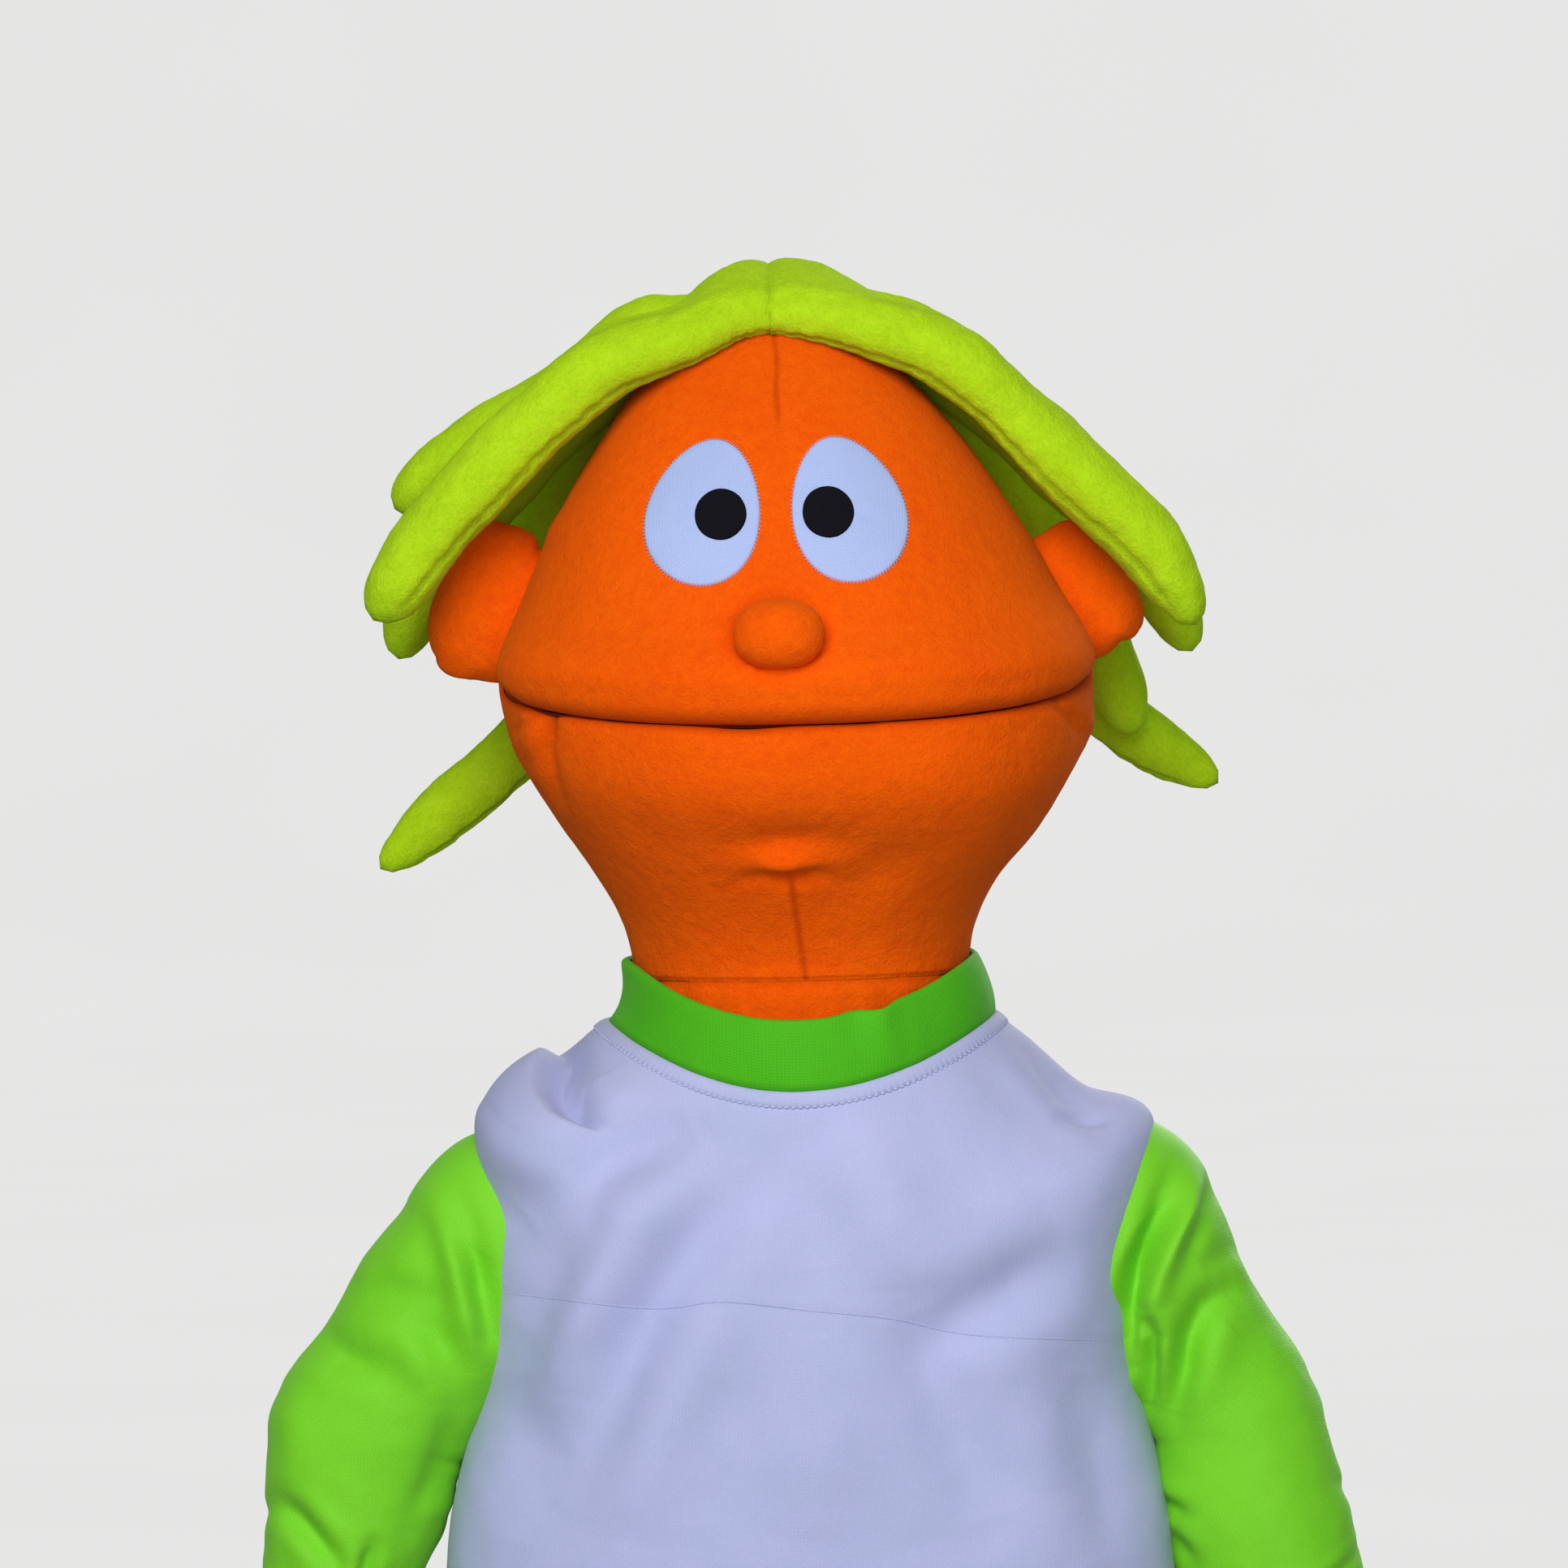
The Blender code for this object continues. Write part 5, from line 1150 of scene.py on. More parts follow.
def make_shirt():
    rows, cols = 250, 400
    grid = shirt_grid(rows, cols)
    x, y, z = np.moveaxis(grid, -1, 0)
    px = to_px(grid)
    facing = ease(-y, 0.0, 0.035)
    out = layers(grid, (0.0016, 0.07, 81), (0.0008, 0.028, 82), (0.00025, 0.010, 83))
    out = out - folded(px, SHIRT_FOLDS, 1.25, 0.3, 2.4, 1.25) * facing
    puff_out, puff_shade = puff(px, y)
    hang = np.arctan2(x, -y)
    back_wave = np.sin(5 * hang + 1.4 * np.sin(9 * z) + 0.8)**2 * ease(y, 0.0, 0.05)
    low_wave = np.sin(7 * hang + 2.0 * np.sin(12 * z))**2 * facing * (1 - ease(z, 0.06, 0.13))
    out = out + puff_out + 0.0042 * back_wave * ease(z, 0.02, 0.12) * (1 - ease(z, 0.20, 0.30))
    out = out + 0.0030 * low_wave * ease(z, 0.012, 0.05)
    seam = bell(near_line(px, CHEST_SEAM)[0], 5) * facing
    side_seam = bell(y - 0.004, 0.0016) * (z < 0.2)
    back_seam = bell(z - BACK_SEAM_Z, 0.0018) * (y > 0.02)
    hem = bell(z - HEM_SEAM_Z, 0.0016)
    out = out - 0.0002 * seam - 0.0009 * (side_seam + hem + back_seam)
    out = out * ease(np.arange(rows), 2, 16)[:, None] + 0.0002
    shade = 0.55 * np.maximum.reduce([0.12 * seam, side_seam, hem, back_seam])
    grid = grid + grid_normals(grid, True) * out[..., None]
    grid[-1, :, 2] = np.maximum(grid[-1, :, 2], 0.0)
    shirt = piece("shirt_body", grid, quads(rows, cols, True), SHIRT, np.maximum(shade, puff_shade),
                  cloth_grid(grid))
    thicken(shirt, JERSEY_THICK)
    belong(shirt, "torso", "shirt_cloth", "shirt_yoke", "shirt_front", "shirt_back")
    return shirt


def make_chest_seam(tree):
    """The thin ridge of the seam across the chest, laid on the shirt."""
    places, normals = [], []
    for px, py in spline(CHEST_SEAM[1:-1], 240):
        place, normal, _, _ = tree.ray_cast(*sight(px, py))
        if place is not None:
            places.append(np.array(place))
            normals.append(np.array(normal if normal.y < 0 else -normal))
    places, normals = np.array(places), np.array(normals)
    for _ in range(3):
        normals[1:-1] = unit(normals[:-2] + normals[1:-1] + normals[2:])
    across = np.cross(normals, unit(np.gradient(places, axis=0)))
    t = around(8, 0)[None, :, None]
    size = 0.00026 * np.sin(math.pi * np.linspace(0.02, 0.98, len(places)))[:, None, None]**0.3
    pull = 1 + 0.35 * np.cos(np.arange(len(places)) * 1.9)[:, None, None]
    grid = (places[:, None] + across[:, None] * size * 1.5 * np.cos(t)
            + normals[:, None] * size * pull * np.sin(t))
    ridge = piece("chest_seam", grid, quads(*grid.shape[:2], True), SHIRT, np.full(grid.shape[:2], 0.12))
    belong(ridge, "torso", "shirt_cloth")


def neck_ring(a, minus, plus, deep, side, front, back):
    wide = np.where(a < 0, minus, plus)
    end = np.where(np.cos(a) > 0, front, back)
    return np.stack([wide * np.sin(a), -deep * np.cos(a), side + (end - side) * np.cos(a)**2], -1)


COLLAR_THICK = 0.0034


def make_collar():
    a = around(300)
    low, high = neck_ring(a, *COLLAR_LOW), neck_ring(a, *COLLAR_HIGH)
    away = outwards(a)
    x = low[:, 0]
    ripple = (0.0026 * bell(x - 0.036, 0.006) - 0.0016 * bell(x - 0.025, 0.006)) * (low[:, 1] < 0)
    wave = 0.0010 * noise(low, 0.03, 91)
    high = high + away * (ripple + wave)[:, None] + UP * (0.6 * wave - 0.5 * ripple)[:, None]
    up = unit(high - low)
    hollow = 0.0045 * np.where(a < 0, np.sin(a)**4, 0)
    rows = []
    for t in np.linspace(0, 1, 14):
        swell = (0.0012 * math.sin(math.pi * t)**0.8 - 0.0008 * (1 - t)**6
                 - hollow * math.sin(math.pi * t**0.8))
        rows.append(low + (high - low) * t + away * swell[:, None])
    for b in np.linspace(0, math.pi, 7)[1:]:
        rows.append(high + COLLAR_THICK / 2 * (up * math.sin(b) - away * (1 - math.cos(b))))
    for t in np.linspace(1, 0.1, 8)[1:]:
        rows.append(low + (high - low) * t
                    - away * (COLLAR_THICK + hollow * math.sin(math.pi * t**0.8))[:, None])
    grid = np.array(rows)
    grid = grid + away[None] * layers(grid, (0.0007, 0.03, 92), (0.0002, 0.008, 93))[..., None]
    shade = np.zeros(grid.shape[:2])
    shade[:2] = ((0.9,), (0.35,))
    collar = piece("collar_band", grid, quads(*grid.shape[:2], True), COLLAR, shade, cloth_grid(grid))
    belong(collar, "torso", "collar_knit", "collar")


BINDING_COLUMNS = 1520
NECK_STITCHES, NECK_STITCH_LONG, NECK_STITCH_RADIUS = 190, 0.0021, 0.00030
# Rows of the shirt's turned edge below the collar: run down the shirt, height, pull of the stitches and shade
BINDING_ROWS = (
    (-0.0015, -0.0010, 0, 0.4), (-0.0006, 0.0006, 0, 0), (0.0006, 0.0012, 0, 0), (0.0022, 0.0014, 0.1, 0),
    (0.0038, 0.0013, 0.3, 0), (0.0050, 0.0011, 0.7, 0.1), (0.0057, 0.0006, 1.0, 0.35),
    (0.0062, -0.0008, 0.6, 0.6),
)
STITCHED_ROW = 6


def make_binding():
    """The turned edge of the shirt below the collar, with its row of topstitching."""
    a = around(BINDING_COLUMNS)
    first, second = (neck_ring(a, *ring) for ring in SHIRT_RINGS[:2])
    down = unit(second - first)
    lift = unit(np.cross(np.stack([np.cos(a), np.sin(a), 0 * a], -1), down))
    lift = np.where((lift * (outwards(a) + 0.6 * UP)).sum(-1, keepdims=True) < 0, -lift, lift)
    pull = 0.00035 * (0.5 + 0.5 * np.cos(a * NECK_STITCHES))
    grid = np.array([first + down * (run - 0.6 * bite * pull)[:, None] + lift * (high - bite * pull)[:, None]
                     for run, high, bite, _ in BINDING_ROWS])
    grid = grid + lift[None] * (0.0003 * noise(grid, 0.02, 95))[..., None]
    shade = np.repeat([row[-1] for row in BINDING_ROWS], BINDING_COLUMNS)
    band = piece("neck_binding", grid, quads(*grid.shape[:2], True), SHIRT, shade, cloth_grid(grid))
    belong(band, "torso", "shirt_cloth")
    stitched = grid[STITCHED_ROW]
    index = (np.round((np.arange(NECK_STITCHES) + 0.5) / NECK_STITCHES * BINDING_COLUMNS).astype(int)
             % BINDING_COLUMNS)
    way = unit(np.roll(stitched, -1, 0) - stitched)[index]
    stitches("neck_topstitch", stitched[index] - down[index] * 0.0004, lift[index], way, NECK_STITCH_LONG,
             NECK_STITCH_RADIUS, THREAD, "torso", "shirt_cloth")


# The bag's half-width, depth, height and squareness, from the neck ring past the arms to the hem
LINING_RINGS = (
    (0.0606, 0.0606, 0.306, 2.0), (0.0606, 0.0606, 0.293, 2.0), (0.068, 0.072, 0.282, 2.1),
    (0.074, 0.0753, 0.264, 2.4), (0.074, 0.0753, 0.252, 2.4), (0.085, 0.080, 0.225, 2.4),
    (0.115, 0.0826, 0.188, 2.4), (0.129, 0.0836, 0.150, 2.4), (0.1456, 0.0836, 0.014, 2.4),
    (0.1456, 0.0836, 0.0004, 2.4),
)


def make_lining():
    """The fleece body bag inside the shirt."""
    rows, cols = 110, 180
    line = spline(LINING_RINGS, rows)
    a = around(cols)[None, :]
    wide, deep, z, power = (line[:, k:k + 1] for k in range(4))
    slack = 0.0050 * ease(z, 0.015, 0.06) * (1 - ease(z, 0.24, 0.28))
    grid = ring_points(oval(a, wide, deep, power) - 0.0010 - slack, a, z)
    grid = grid - grid_normals(grid, True) * (0.0010 + 0.0010 * np.abs(noise(grid, 0.05, 97)))[..., None]
    grid[..., 2] = np.maximum(grid[..., 2], 0.0003)
    bag = piece("bag_lining", grid, quads(rows, cols, True), ORANGE)
    thicken(bag, FLEECE_THICK)
    belong(bag, "torso", "orange_fleece", "body_lining")


make_chest_seam(skin_of(make_shirt()))
make_collar()
make_binding()
make_lining()


# Sleeves and hands

SPLAY, FOREARM_SPLAY = math.radians(32), math.radians(12.5)
# Folds of each sleeve out of the photograph's view: share of its length, angle round it (0 outer, 90 front),
# spread along it and round it, and depth
BACK_FOLDS = ((0.58, -90, 0.022, 70, 0.0030), (0.43, -120, 0.020, 60, 0.0030), (0.74, -60, 0.020, 60, 0.0024),
              (0.86, -110, 0.016, 60, 0.0020), (0.86, 80, 0.016, 60, 0.0016))
# Folds seen from the front, in pixels of the photograph's frame, as for the shirt
SLEEVE_FOLDS = {
    "right": (
        (((552, 1440), (579, 1506), (592, 1573), (602, 1640)), 15, 0.0056),
        (((536, 1470), (562, 1558), (574, 1640), (580, 1690)), 15, -0.0032),
        (((450, 1588), (505, 1592), (556, 1606)), 22, 0.0028),
        (((496, 1622), (530, 1640), (560, 1672)), 22, 0.0030),
        (((486, 1636), (520, 1680), (536, 1730)), 22, -0.0020),
        (((392, 1640), (420, 1668), (470, 1690)), 20, 0.0034),
        (((346, 1848), (380, 1886), (416, 1926)), 13, 0.0048),
        (((458, 1905), (452, 1925), (448, 1960)), 10, 0.0040),
        (((560, 1740), (545, 1800), (505, 1880)), 18, 0.0024),
        (((350, 1720), (360, 1780), (352, 1830)), 26, -0.0022),
    ),
    "left": (
        (((1448, 1432), (1423, 1510), (1402, 1565), (1388, 1620), (1394, 1680)), 14, 0.0105),
        (((1482, 1432), (1490, 1462), (1476, 1505), (1456, 1545)), 10, 0.0026),
        (((1476, 1440), (1462, 1490), (1432, 1560), (1420, 1610)), 15, -0.0042),
        (((1410, 1620), (1420, 1648), (1418, 1680), (1412, 1730)), 12, 0.0080),
        (((1512, 1590), (1486, 1608), (1467, 1645), (1455, 1692), (1440, 1740)), 18, 0.0072),
        (((1524, 1530), (1508, 1548), (1480, 1560)), 16, 0.0020),
        (((1416, 1846), (1436, 1858), (1458, 1868)), 11, 0.0026),
        (((1432, 1886), (1448, 1904), (1466, 1926)), 11, 0.0026),
    ),
}
# How far each sleeve is drawn in from its solid, on the outer and the inner side, at shares of its length
SLEEVE_TRIM = {
    "right": (((0.02, 0.06, 0.105, 0.245, 0.386, 0.47, 0.527, 0.60, 0.69, 0.854, 1),
               (0.003, 0.0100, 0.0150, 0.0095, 0.0060, 0.0030, 0.0005, 0.0015, 0.0045, 0.0060, 0.0050)),
              ((0.25, 0.336, 0.45, 0.527, 0.63, 0.71, 0.775, 1),
               (0.002, 0.004, 0.001, -0.001, -0.001, 0.0030, 0.0055, 0.0050))),
    "left": (((0.02, 0.06, 0.105, 0.20, 0.285, 0.445, 0.527, 0.63, 0.75, 1),
              (0.002, 0.0045, 0.0055, 0.0075, 0.0120, 0.0098, 0.0090, 0.0066, 0.0030, 0.0020)),
             ((0.25, 0.336, 0.45, 0.527, 0.61, 0.71, 0.80, 1),
              (0.003, 0.009, 0.006, 0.000, -0.005, -0.0055, -0.004, -0.001))),
}
ARM_WAY = np.array((math.sin(SPLAY), 0, -math.cos(SPLAY)))
FORE_WAY = np.array((math.sin(FOREARM_SPLAY), 0, -math.cos(FOREARM_SPLAY)))
FORE_OUT = np.array((math.cos(FOREARM_SPLAY), 0, math.sin(FOREARM_SPLAY)))
CAP_RADIUS, SLEEVE_DEEP = 0.0478, 0.97
# The sleeve's middle line and radius from the shoulder to the cuff
SLEEVE_LINE = np.array([
    (*SHOULDER, CAP_RADIUS), (*(SHOULDER + ARM_WAY * 0.030), 0.0462), (*(SHOULDER + ARM_WAY * 0.062), 0.0425),
    (*(ELBOW + (0.0010, 0, 0)), 0.0398), (*(ELBOW + FORE_WAY * 0.035), 0.0378),
    (*(ELBOW + FORE_WAY * 0.070), 0.0356), (*(ELBOW + FORE_WAY * 0.101), 0.0338)])
# The cuff's edge, turned in: how far inward and how far down
CUFF_EDGE = ((0.0006, 0.0009), (0.0018, 0.0009), (0.0026, 0), (0.0028, -0.006), (0.0030, -0.018))
TRIM_SOFT = 13


def sleeve_tube(cols):
    """The plain sleeve on the +X side, its middle line, its way along and its angles: 0 outer, 90 front."""
    cap = np.radians(np.linspace(86, 4, 24))
    line = spline(SLEEVE_LINE, 210)
    centre = np.vstack([SHOULDER - ARM_WAY * CAP_RADIUS * np.sin(cap)[:, None], line[:, :3]])
    radius = np.concatenate([CAP_RADIUS * np.cos(cap), line[:, 3]])[:, None]
    way = np.vstack([np.tile(ARM_WAY, (len(cap), 1)), unit(np.gradient(line[:, :3], axis=0))])
    for _ in range(400):
        way[1:-1] = unit(way[:-2] + 2 * way[1:-1] + way[2:])
    outer = np.stack([-way[:, 2], 0 * way[:, 0], way[:, 0]], -1)
    a = around(cols)
    grid = (centre[:, None] + outer[:, None] * (radius * np.cos(a))[..., None]
            - np.array((0, 1, 0)) * (SLEEVE_DEEP * radius * np.sin(a))[..., None])
    return grid, centre, way, np.degrees(a)[None, :]


def make_sleeve(side, sign):
    cols = 208
    flip = np.array((sign, 1, 1))
    grid, centre, way, turn = sleeve_tube(cols)
    share = np.linspace(0, 1, len(centre))[:, None]
    normal = unit(grid - centre[:, None])

    def off(at):
        return (turn - at + 180) % 360 - 180

    out = layers(grid, (0.0012, 0.045, 101 + sign), (0.0006, 0.018, 103), (0.0002, 0.007, 104))
    for at, facing, tall, broad, depth in BACK_FOLDS:
        from_fold = share - at - 0.0007 * off(facing) * (1 if facing > 0 else -1)
        out = out + depth * (0.6 * bell(from_fold + 1.5 * tall, 1.1 * tall) - bell(from_fold, tall)
                             + 0.5 * bell(from_fold - 1.6 * tall, 1.2 * tall)) * bell(off(facing), broad)
    soft = np.hanning(2 * TRIM_SOFT + 1)
    outer, inner = (
        np.convolve(np.pad(np.interp(share[:, 0], *table), TRIM_SOFT, "edge"), soft / soft.sum(), "valid")
        for table in SLEEVE_TRIM[side])
    cut = outer[:, None] * bell(off(0), 75) + inner[:, None] * bell(off(180), 75)
    px = to_px((grid - normal * cut[..., None]) * flip)
    out = out - folded(px, SLEEVE_FOLDS[side], 1.0, 0.32, 2.0, 1.2) * ease(-normal[..., 1], 0.0, 0.4)
    out = out * ease(share, 0.05, 0.16) - cut
    seam = bell(share - 0.955, 0.004) + 0 * turn
    grid = grid + normal * (out - 0.0008 * seam)[..., None]
    cuff = [grid[-1] - normal[-1] * inward + way[-1] * down for inward, down in CUFF_EDGE]
    grid = np.vstack([grid, np.array(cuff)])
    grid[..., 0] *= sign
    # The seam by the cuff is darker, and the turned-in cuff edge inside the opening is painted in shade
    shade = np.concatenate([0.5 * seam.ravel(), np.full(len(CUFF_EDGE) * cols, 0.25), (0,)])
    points = np.vstack([grid.reshape(-1, 3), (SHOULDER - ARM_WAY * CAP_RADIUS) * flip])
    faces = quads(len(grid), cols, True) + fan(len(grid) * cols, cols)
    weave = np.vstack([cloth_grid(grid).reshape(-1, 3), np.zeros((1, 3))])
    sleeve = piece(side + "_sleeve", points, faces, SLEEVE, shade, weave)
    belong(sleeve, None, "sleeve_knit", side + "_sleeve_upper", side + "_sleeve_lower", side + "_upper_arm",
           side + "_forearm", side + "_arm_tab", side + "_shoulder_knot")
    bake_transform(sleeve)


WRIST = ELBOW + FORE_WAY * 0.0954
HAND_VOXEL, HAND_SWELL, HAND_SMOOTH = 0.0022, 0.006, 3
FINGER_FANS, THUMB_FAN = (-22, 0, 22), -70
# Places along the hand from the wrist, how far aside the thumb starts, and where the digits' middles are
PALM_AT, INTO_CUFF, KNUCKLE_AT, THUMB_AT, THUMB_ASIDE = 0.033, 0.006, 0.0512, 0.0297, 0.0149
FINGER_REACH, THUMB_REACH = 0.0158, 0.0128
# Half-sizes across the palm's thickness, across the hand and along it
PALM_SIZE, WRIST_SIZE = (0.0105, 0.0285, 0.0335), (0.0125, 0.0215, 0.0200)
FINGER_SIZE, THUMB_SIZE = (0.0080, 0.0102, 0.0215), (0.0080, 0.0102, 0.0175)


def finger_way(fan_angle):
    f = math.radians(fan_angle)
    return FORE_WAY * math.cos(f) + np.array((0, 1, 0)) * math.sin(f)


def make_hand(side, sign):
    """A stuffed fleece hand: palm, three fingers and a thumb in one skin."""
    knuckle = WRIST + FORE_WAY * KNUCKLE_AT
    thumb_root = WRIST + FORE_WAY * THUMB_AT - np.array((0, THUMB_ASIDE, 0))
    thumb_way = finger_way(THUMB_FAN)
    blobs = [(WRIST + FORE_WAY * PALM_AT, FORE_WAY, PALM_SIZE),
             (WRIST - FORE_WAY * INTO_CUFF, FORE_WAY, WRIST_SIZE)]
    blobs += [(knuckle + way * FINGER_REACH, way, FINGER_SIZE) for way in map(finger_way, FINGER_FANS)]
    blobs.append((thumb_root + thumb_way * THUMB_REACH, thumb_way, THUMB_SIZE))
    bm = bmesh.new()
    for centre, way, size in blobs:
        axes = np.stack([FORE_OUT, np.cross(way, FORE_OUT), way], 1) * size
        for v in bmesh.ops.create_uvsphere(bm, u_segments=24, v_segments=16, radius=1.0)["verts"]:
            v.co = axes @ np.array(v.co) + centre
    bm.verts.index_update()
    flat = [tuple(v.co) for v in bm.verts]
    faces = [tuple(v.index for v in f.verts) for f in bm.faces]
    bm.free()
    points, normals, faces = stuff(flat, faces, HAND_VOXEL, HAND_SWELL, HAND_SMOOTH)
    edge = np.abs((points - WRIST) @ FORE_OUT)
    soft = layers(points, (0.0006, 0.015, 111), (0.0002, 0.005, 112))
    points = points + normals * (soft - 0.0006 * bell(edge, 0.0009))[:, None]
    points[:, 0] *= sign
    hand = piece(side + "_mitten", points, faces, ORANGE, 0.35 * bell(edge, 0.0009))
    belong(hand, side + "_lower_arm", "orange_fleece", side + "_hand")


for side, sign in SIDES:
    make_sleeve(side, sign)
    make_hand(side, sign)


# Inside of the mouth

def mouth_sheet(name, node, body, lift, thick, cloth, slot, inset, wrinkle=0.0):
    """A mouth plate or the felt laid on it: the mouth's outline, a little smaller, with a rounded edge."""
    cols = 120
    a = np.linspace(-MOUTH_CORNER + 0.06, MOUTH_CORNER - 0.06, cols)
    edge = head_at(a, lip_height(a)) * np.array((1, 1, 0))
    middle = np.array((0, HINGE_Y - 0.004, 0))
    run = np.linalg.norm(edge - middle, axis=1, keepdims=True)
    edge = middle + (edge - middle) * (1 - inset / run)
    rings = np.concatenate([np.linspace(0.03, 0.96, 26), [0.985, 1.0]])
    rows = len(rings)
    flat = middle + (edge - middle)[None] * rings[:, None, None]
    plane = MOUTH_Z - (HINGE_Y - flat[..., 1]) * math.tan(MOUTH_TILT)
    height = plane + lift + wrinkle * noise(flat, 0.025, 121)
    half = thick * (np.where(rings > 0.99, 0.3, np.where(rings > 0.97, 0.8, 1.0))[:, None] - 0.5)
    points = np.vstack([(flat + UP * (height + way * half)[..., None]).reshape(-1, 3) for way in (1, -1)])
    under = rows * cols
    ids = np.arange(under).reshape(rows, cols)
    faces = quads(rows, cols) + [tuple(reversed(f)) for f in quads(rows, cols, False, under)]
    for j in (0, cols - 1):
        faces += strip_faces(ids[:, j], ids[:, j] + under)
    faces += strip_faces(ids[0], ids[0] + under)
    faces += [tuple(reversed(f)) for f in strip_faces(ids[-1], ids[-1] + under)]
    return belong(piece(name, points, faces, cloth), body, slot, node)


def on_mouth(along, across, high):
    """A place in the closed mouth's own frame: forward from the hinge, to +X, and up from its plane."""
    c, s = math.cos(MOUTH_TILT), math.sin(MOUTH_TILT)
    forward, up = np.array((0, -c, -s)), np.array((0, -s, c))
    along, across, high = np.broadcast_arrays(along, across, high)
    return (HINGE + along[..., None] * forward + across[..., None] * np.array((1.0, 0, 0))
            + high[..., None] * up)


STRAP_THICK = 0.0025
# A strap's section: shares of its half-width and of its thickness
STRAP_SECTION = np.array([
    (-1, 0.0), (-0.98, 0.85), (-0.85, 1), (-0.4, 0.96), (0, 1), (0.4, 0.96), (0.85, 1), (0.98, 0.85),
    (1, 0.0), (0.85, 0.02), (0.4, 0.05), (-0.4, 0.05), (-0.85, 0.02)])


def make_strap(name, node, body, way, half_width, height, near, far):
    """A strap of webbing arched over the hand, its ends sewn to a mouth plate."""
    rows, cols = 64, len(STRAP_SECTION)
    b = np.linspace(0, math.pi, rows)[:, None]
    middle, half = (near + far) / 2, (far - near) / 2
    across, out = STRAP_SECTION[None, :, 0] * half, STRAP_SECTION[None, :, 1] * STRAP_THICK
    grid = on_mouth(middle + across * (1 + 0.02 * np.cos(6 * b)), -(half_width + out) * np.cos(b),
                    way * (0.0062 + (height + out) * np.sin(b)))
    weave = np.stack(np.broadcast_arrays(across, b * (half_width + height) / 2, 0.0), -1)
    faces = quads(rows, cols, True) + [tuple(range(cols))[::-1], tuple(range((rows - 1) * cols, rows * cols))]
    strap = belong(piece(name, grid, faces, WEBBING, None, weave), body, "tape", node)


TAPE_RADIUS, TAPE_HALF_LENGTH = 0.0023, 0.1130


def make_hinge_tape():
    """The tape that joins the mouth plates, wrapped round their hinge line and open at the back."""
    b = np.radians(np.linspace(-150, 150, 22))[None, :]
    x = np.linspace(-TAPE_HALF_LENGTH, TAPE_HALF_LENGTH, 90)[:, None]
    r = TAPE_RADIUS + 0.00012 * np.sin(x * 900) + 0 * b
    grid = on_mouth(r * np.cos(b), x, r * np.sin(b))
    weave = np.stack(np.broadcast_arrays(b * TAPE_RADIUS, x, 0.0), -1)
    tape = piece("hinge_tape", grid, quads(*grid.shape[:2]), WEBBING, None, weave)
    belong(tape, "head", "tape", "mouth_hinge_tape")


FOAM_FLOOR_Z = 0.5455


def make_foam():
    """The foam that fills the crown: the head's form a little inside its skin, hollow below for fingers."""
    rows, cols = 40, 96
    a = around(cols)[None, :]
    z = CROWN_Z - (CROWN_Z - FOAM_FLOOR_Z) * np.linspace(0.03, 1, rows)[:, None]**2 + 0 * a
    grid = lean(head_at(np.broadcast_to(a, z.shape), z))
    grid = grid - grid_normals(grid, True) * (0.0048 + 0.0006 * noise(grid, 0.012, 131))[..., None]
    grid[..., 2] = np.maximum(grid[..., 2], FOAM_FLOOR_Z)
    floor = [grid[-1] * (k, k, 1) + UP * 0.012 * (1 - k * k) for k in (0.97, 0.85, 0.65, 0.4, 0.15)]
    grid = np.vstack([grid, np.array(floor)])
    points = np.vstack([grid.reshape(-1, 3), grid[0].mean(0), grid[-1].mean(0)])
    foam = piece("foam_crown", points, closed(len(grid), cols), FOAM)
    belong(foam, "head", "head_foam", "head_foam")


BOARD_LIFT, BOARD_THICK, BOARD_INSET = 0.0040, 0.0026, 0.0095
FELT_LIFT, FELT_THICK, FELT_INSET, FELT_WRINKLE = 0.0014, 0.0018, 0.0060, 0.0002
for place, body, way in (("upper", "head", 1), ("lower", "jaw", -1)):
    board = f"{place}_mouth_board"
    mouth_sheet(board, f"{place}_mouth_plate", body, way * BOARD_LIFT, BOARD_THICK, BOARD, "mouth_board",
                BOARD_INSET)
    felt = mouth_sheet(f"{place}_mouth_felt", f"{place}_mouth_lining", body, way * FELT_LIFT, FELT_THICK,
                       FELT_RED, "mouth_felt", FELT_INSET, FELT_WRINKLE)
make_strap("finger_loop", "finger_strap", "head", 1, 0.042, 0.026, 0.058, 0.084)
make_strap("thumb_loop", "thumb_strap", "jaw", -1, 0.020, 0.018, 0.066, 0.086)
make_hinge_tape()
make_foam()


# Stage, light and camera

def camera_only(tree):
    """1 for what the camera sees, straight or in a gloss, and 0 for the light that it throws on the part."""
    path = add_node(tree, "LightPath", {})
    seen = math_node(tree, "MAXIMUM", path["Is Camera Ray"], path["Is Glossy Ray"])
    return math_node(tree, "MAXIMUM", seen, path["Is Transmission Ray"])


FLOOR_RADIUS, FLOOR_CURVE, FLOOR_DROP = 7.0, 2.0, 0.0004


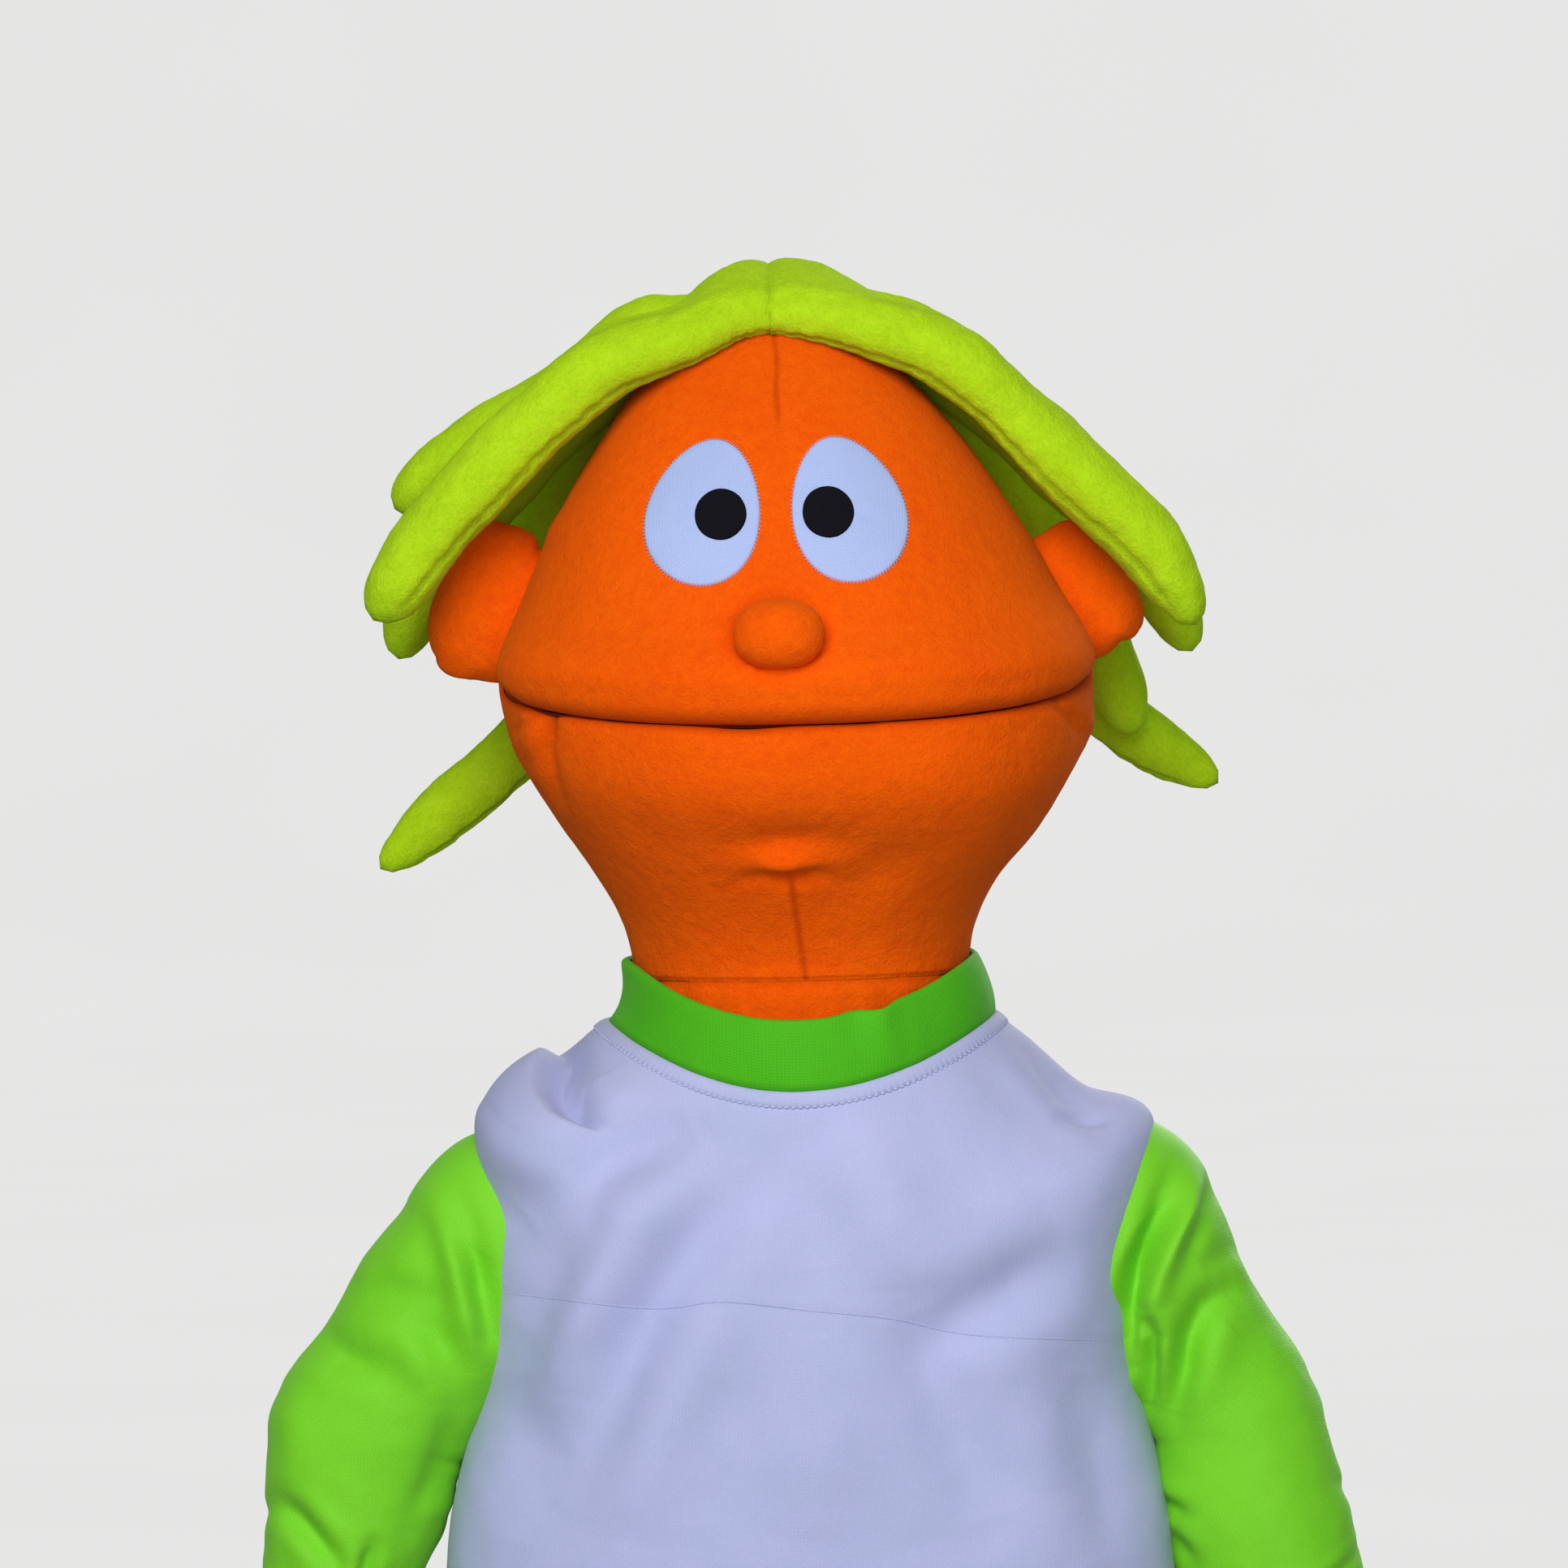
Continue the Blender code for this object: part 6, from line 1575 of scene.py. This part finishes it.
def make_stage():
    """A pale floor that keeps the shadow near the part, and runs into an even pale ground further out."""
    profile = [(r, 0.0) for r in (0.001, 0.3, 0.6, 0.9, 1.2, 1.6, 2.5, 4.5, FLOOR_RADIUS)]
    profile += [(FLOOR_RADIUS + FLOOR_CURVE * math.sin(t), FLOOR_CURVE - FLOOR_CURVE * math.cos(t))
                for t in np.linspace(0, math.pi / 2, 14)[1:]]
    profile += [(9.0, 3.0), (9.0, 5.0)]
    a = around(96, 0)
    grid = np.array([np.stack([r * np.cos(a), r * np.sin(a), h - FLOOR_DROP + 0 * a], -1)
                     for r, h in profile])
    m, tree, shader = material("pale_floor")
    place = add_node(tree, "TexCoord", {})["Object"]
    pale = mix_colour(tree, noise_node(tree, place, 0.6), (0.77, 0.77, 0.765), (0.81, 0.81, 0.805))
    seen = camera_only(tree)
    feed(tree, shader, {"Base Color": mix_colour(tree, seen, (0.34, 0.34, 0.34), pale), "Roughness": 0.9,
                        "Specular IOR Level": 0.1})
    glow = add_node(tree, "Emission", {"Color": pale})[0]
    distance = add_node(tree, "VectorMath", {0: place}, operation="LENGTH")["Value"]
    far = add_node(tree, "MapRange", {"From Min": 0.75, "From Max": 1.35, "To Min": 0.45, "Value": distance},
                   interpolation_type="SMOOTHSTEP")[0]
    share = math_node(tree, "MULTIPLY", far, seen)
    mix = add_node(tree, "MixShader", {0: share, 1: shader.outputs[0], 2: glow})[0]
    tree.links.new(mix, tree.nodes["Material Output"].inputs["Surface"])
    floor = piece("studio_floor", grid, quads(*grid.shape[:2], True), m)


def lamp(name, at, aim, size, power, colour):
    light = bpy.data.lights.new(name, "AREA")
    light.shape = "DISK"
    light.size = size
    light.energy = power
    light.color = colour
    obj = bpy.data.objects.new(name, light)
    obj.location = at
    obj.rotation_euler = (Vector(aim) - Vector(at)).to_track_quat("-Z", "Y").to_euler()
    bpy.context.scene.collection.objects.link(obj)


make_stage()
lamp("key", (-0.45, -2.5, 1.60), (0, 0, 0.42), 1.6, 52, (1.0, 0.985, 0.97))
lamp("front", (0.5, -2.9, 0.75), (0, 0, 0.40), 1.8, 22, (0.98, 0.99, 1.0))
lamp("back", (0.9, 2.4, 1.3), (0, 0, 0.40), 1.8, 36, (1, 1, 1))

world = bpy.data.worlds.new("studio")
world.use_nodes = True
tree = world.node_tree
ground = tree.nodes["Background"]
tree.links.new(mix_colour(tree, camera_only(tree), (0.25, 0.26, 0.27), (0.79, 0.79, 0.785)),
               ground.inputs["Color"])
ground.inputs["Strength"].default_value = 1.0
bpy.context.scene.world = world

camera = bpy.data.cameras.new("camera")
camera.sensor_width = SENSOR
camera.lens = SENSOR * EYE_DISTANCE / (FRAME_SIZE * PIXEL)
eye = bpy.data.objects.new("camera", camera)
eye.location = AIM - AHEAD * EYE_DISTANCE
level = Euler((math.pi / 2 - EYE_DOWN, 0, 0)).to_matrix()
eye.rotation_euler = (level @ Matrix.Rotation(-EYE_ROLL, 3, "Z")).to_euler()
bpy.context.scene.collection.objects.link(eye)
bpy.context.scene.camera = eye
bpy.context.scene.view_settings.view_transform = "Standard"
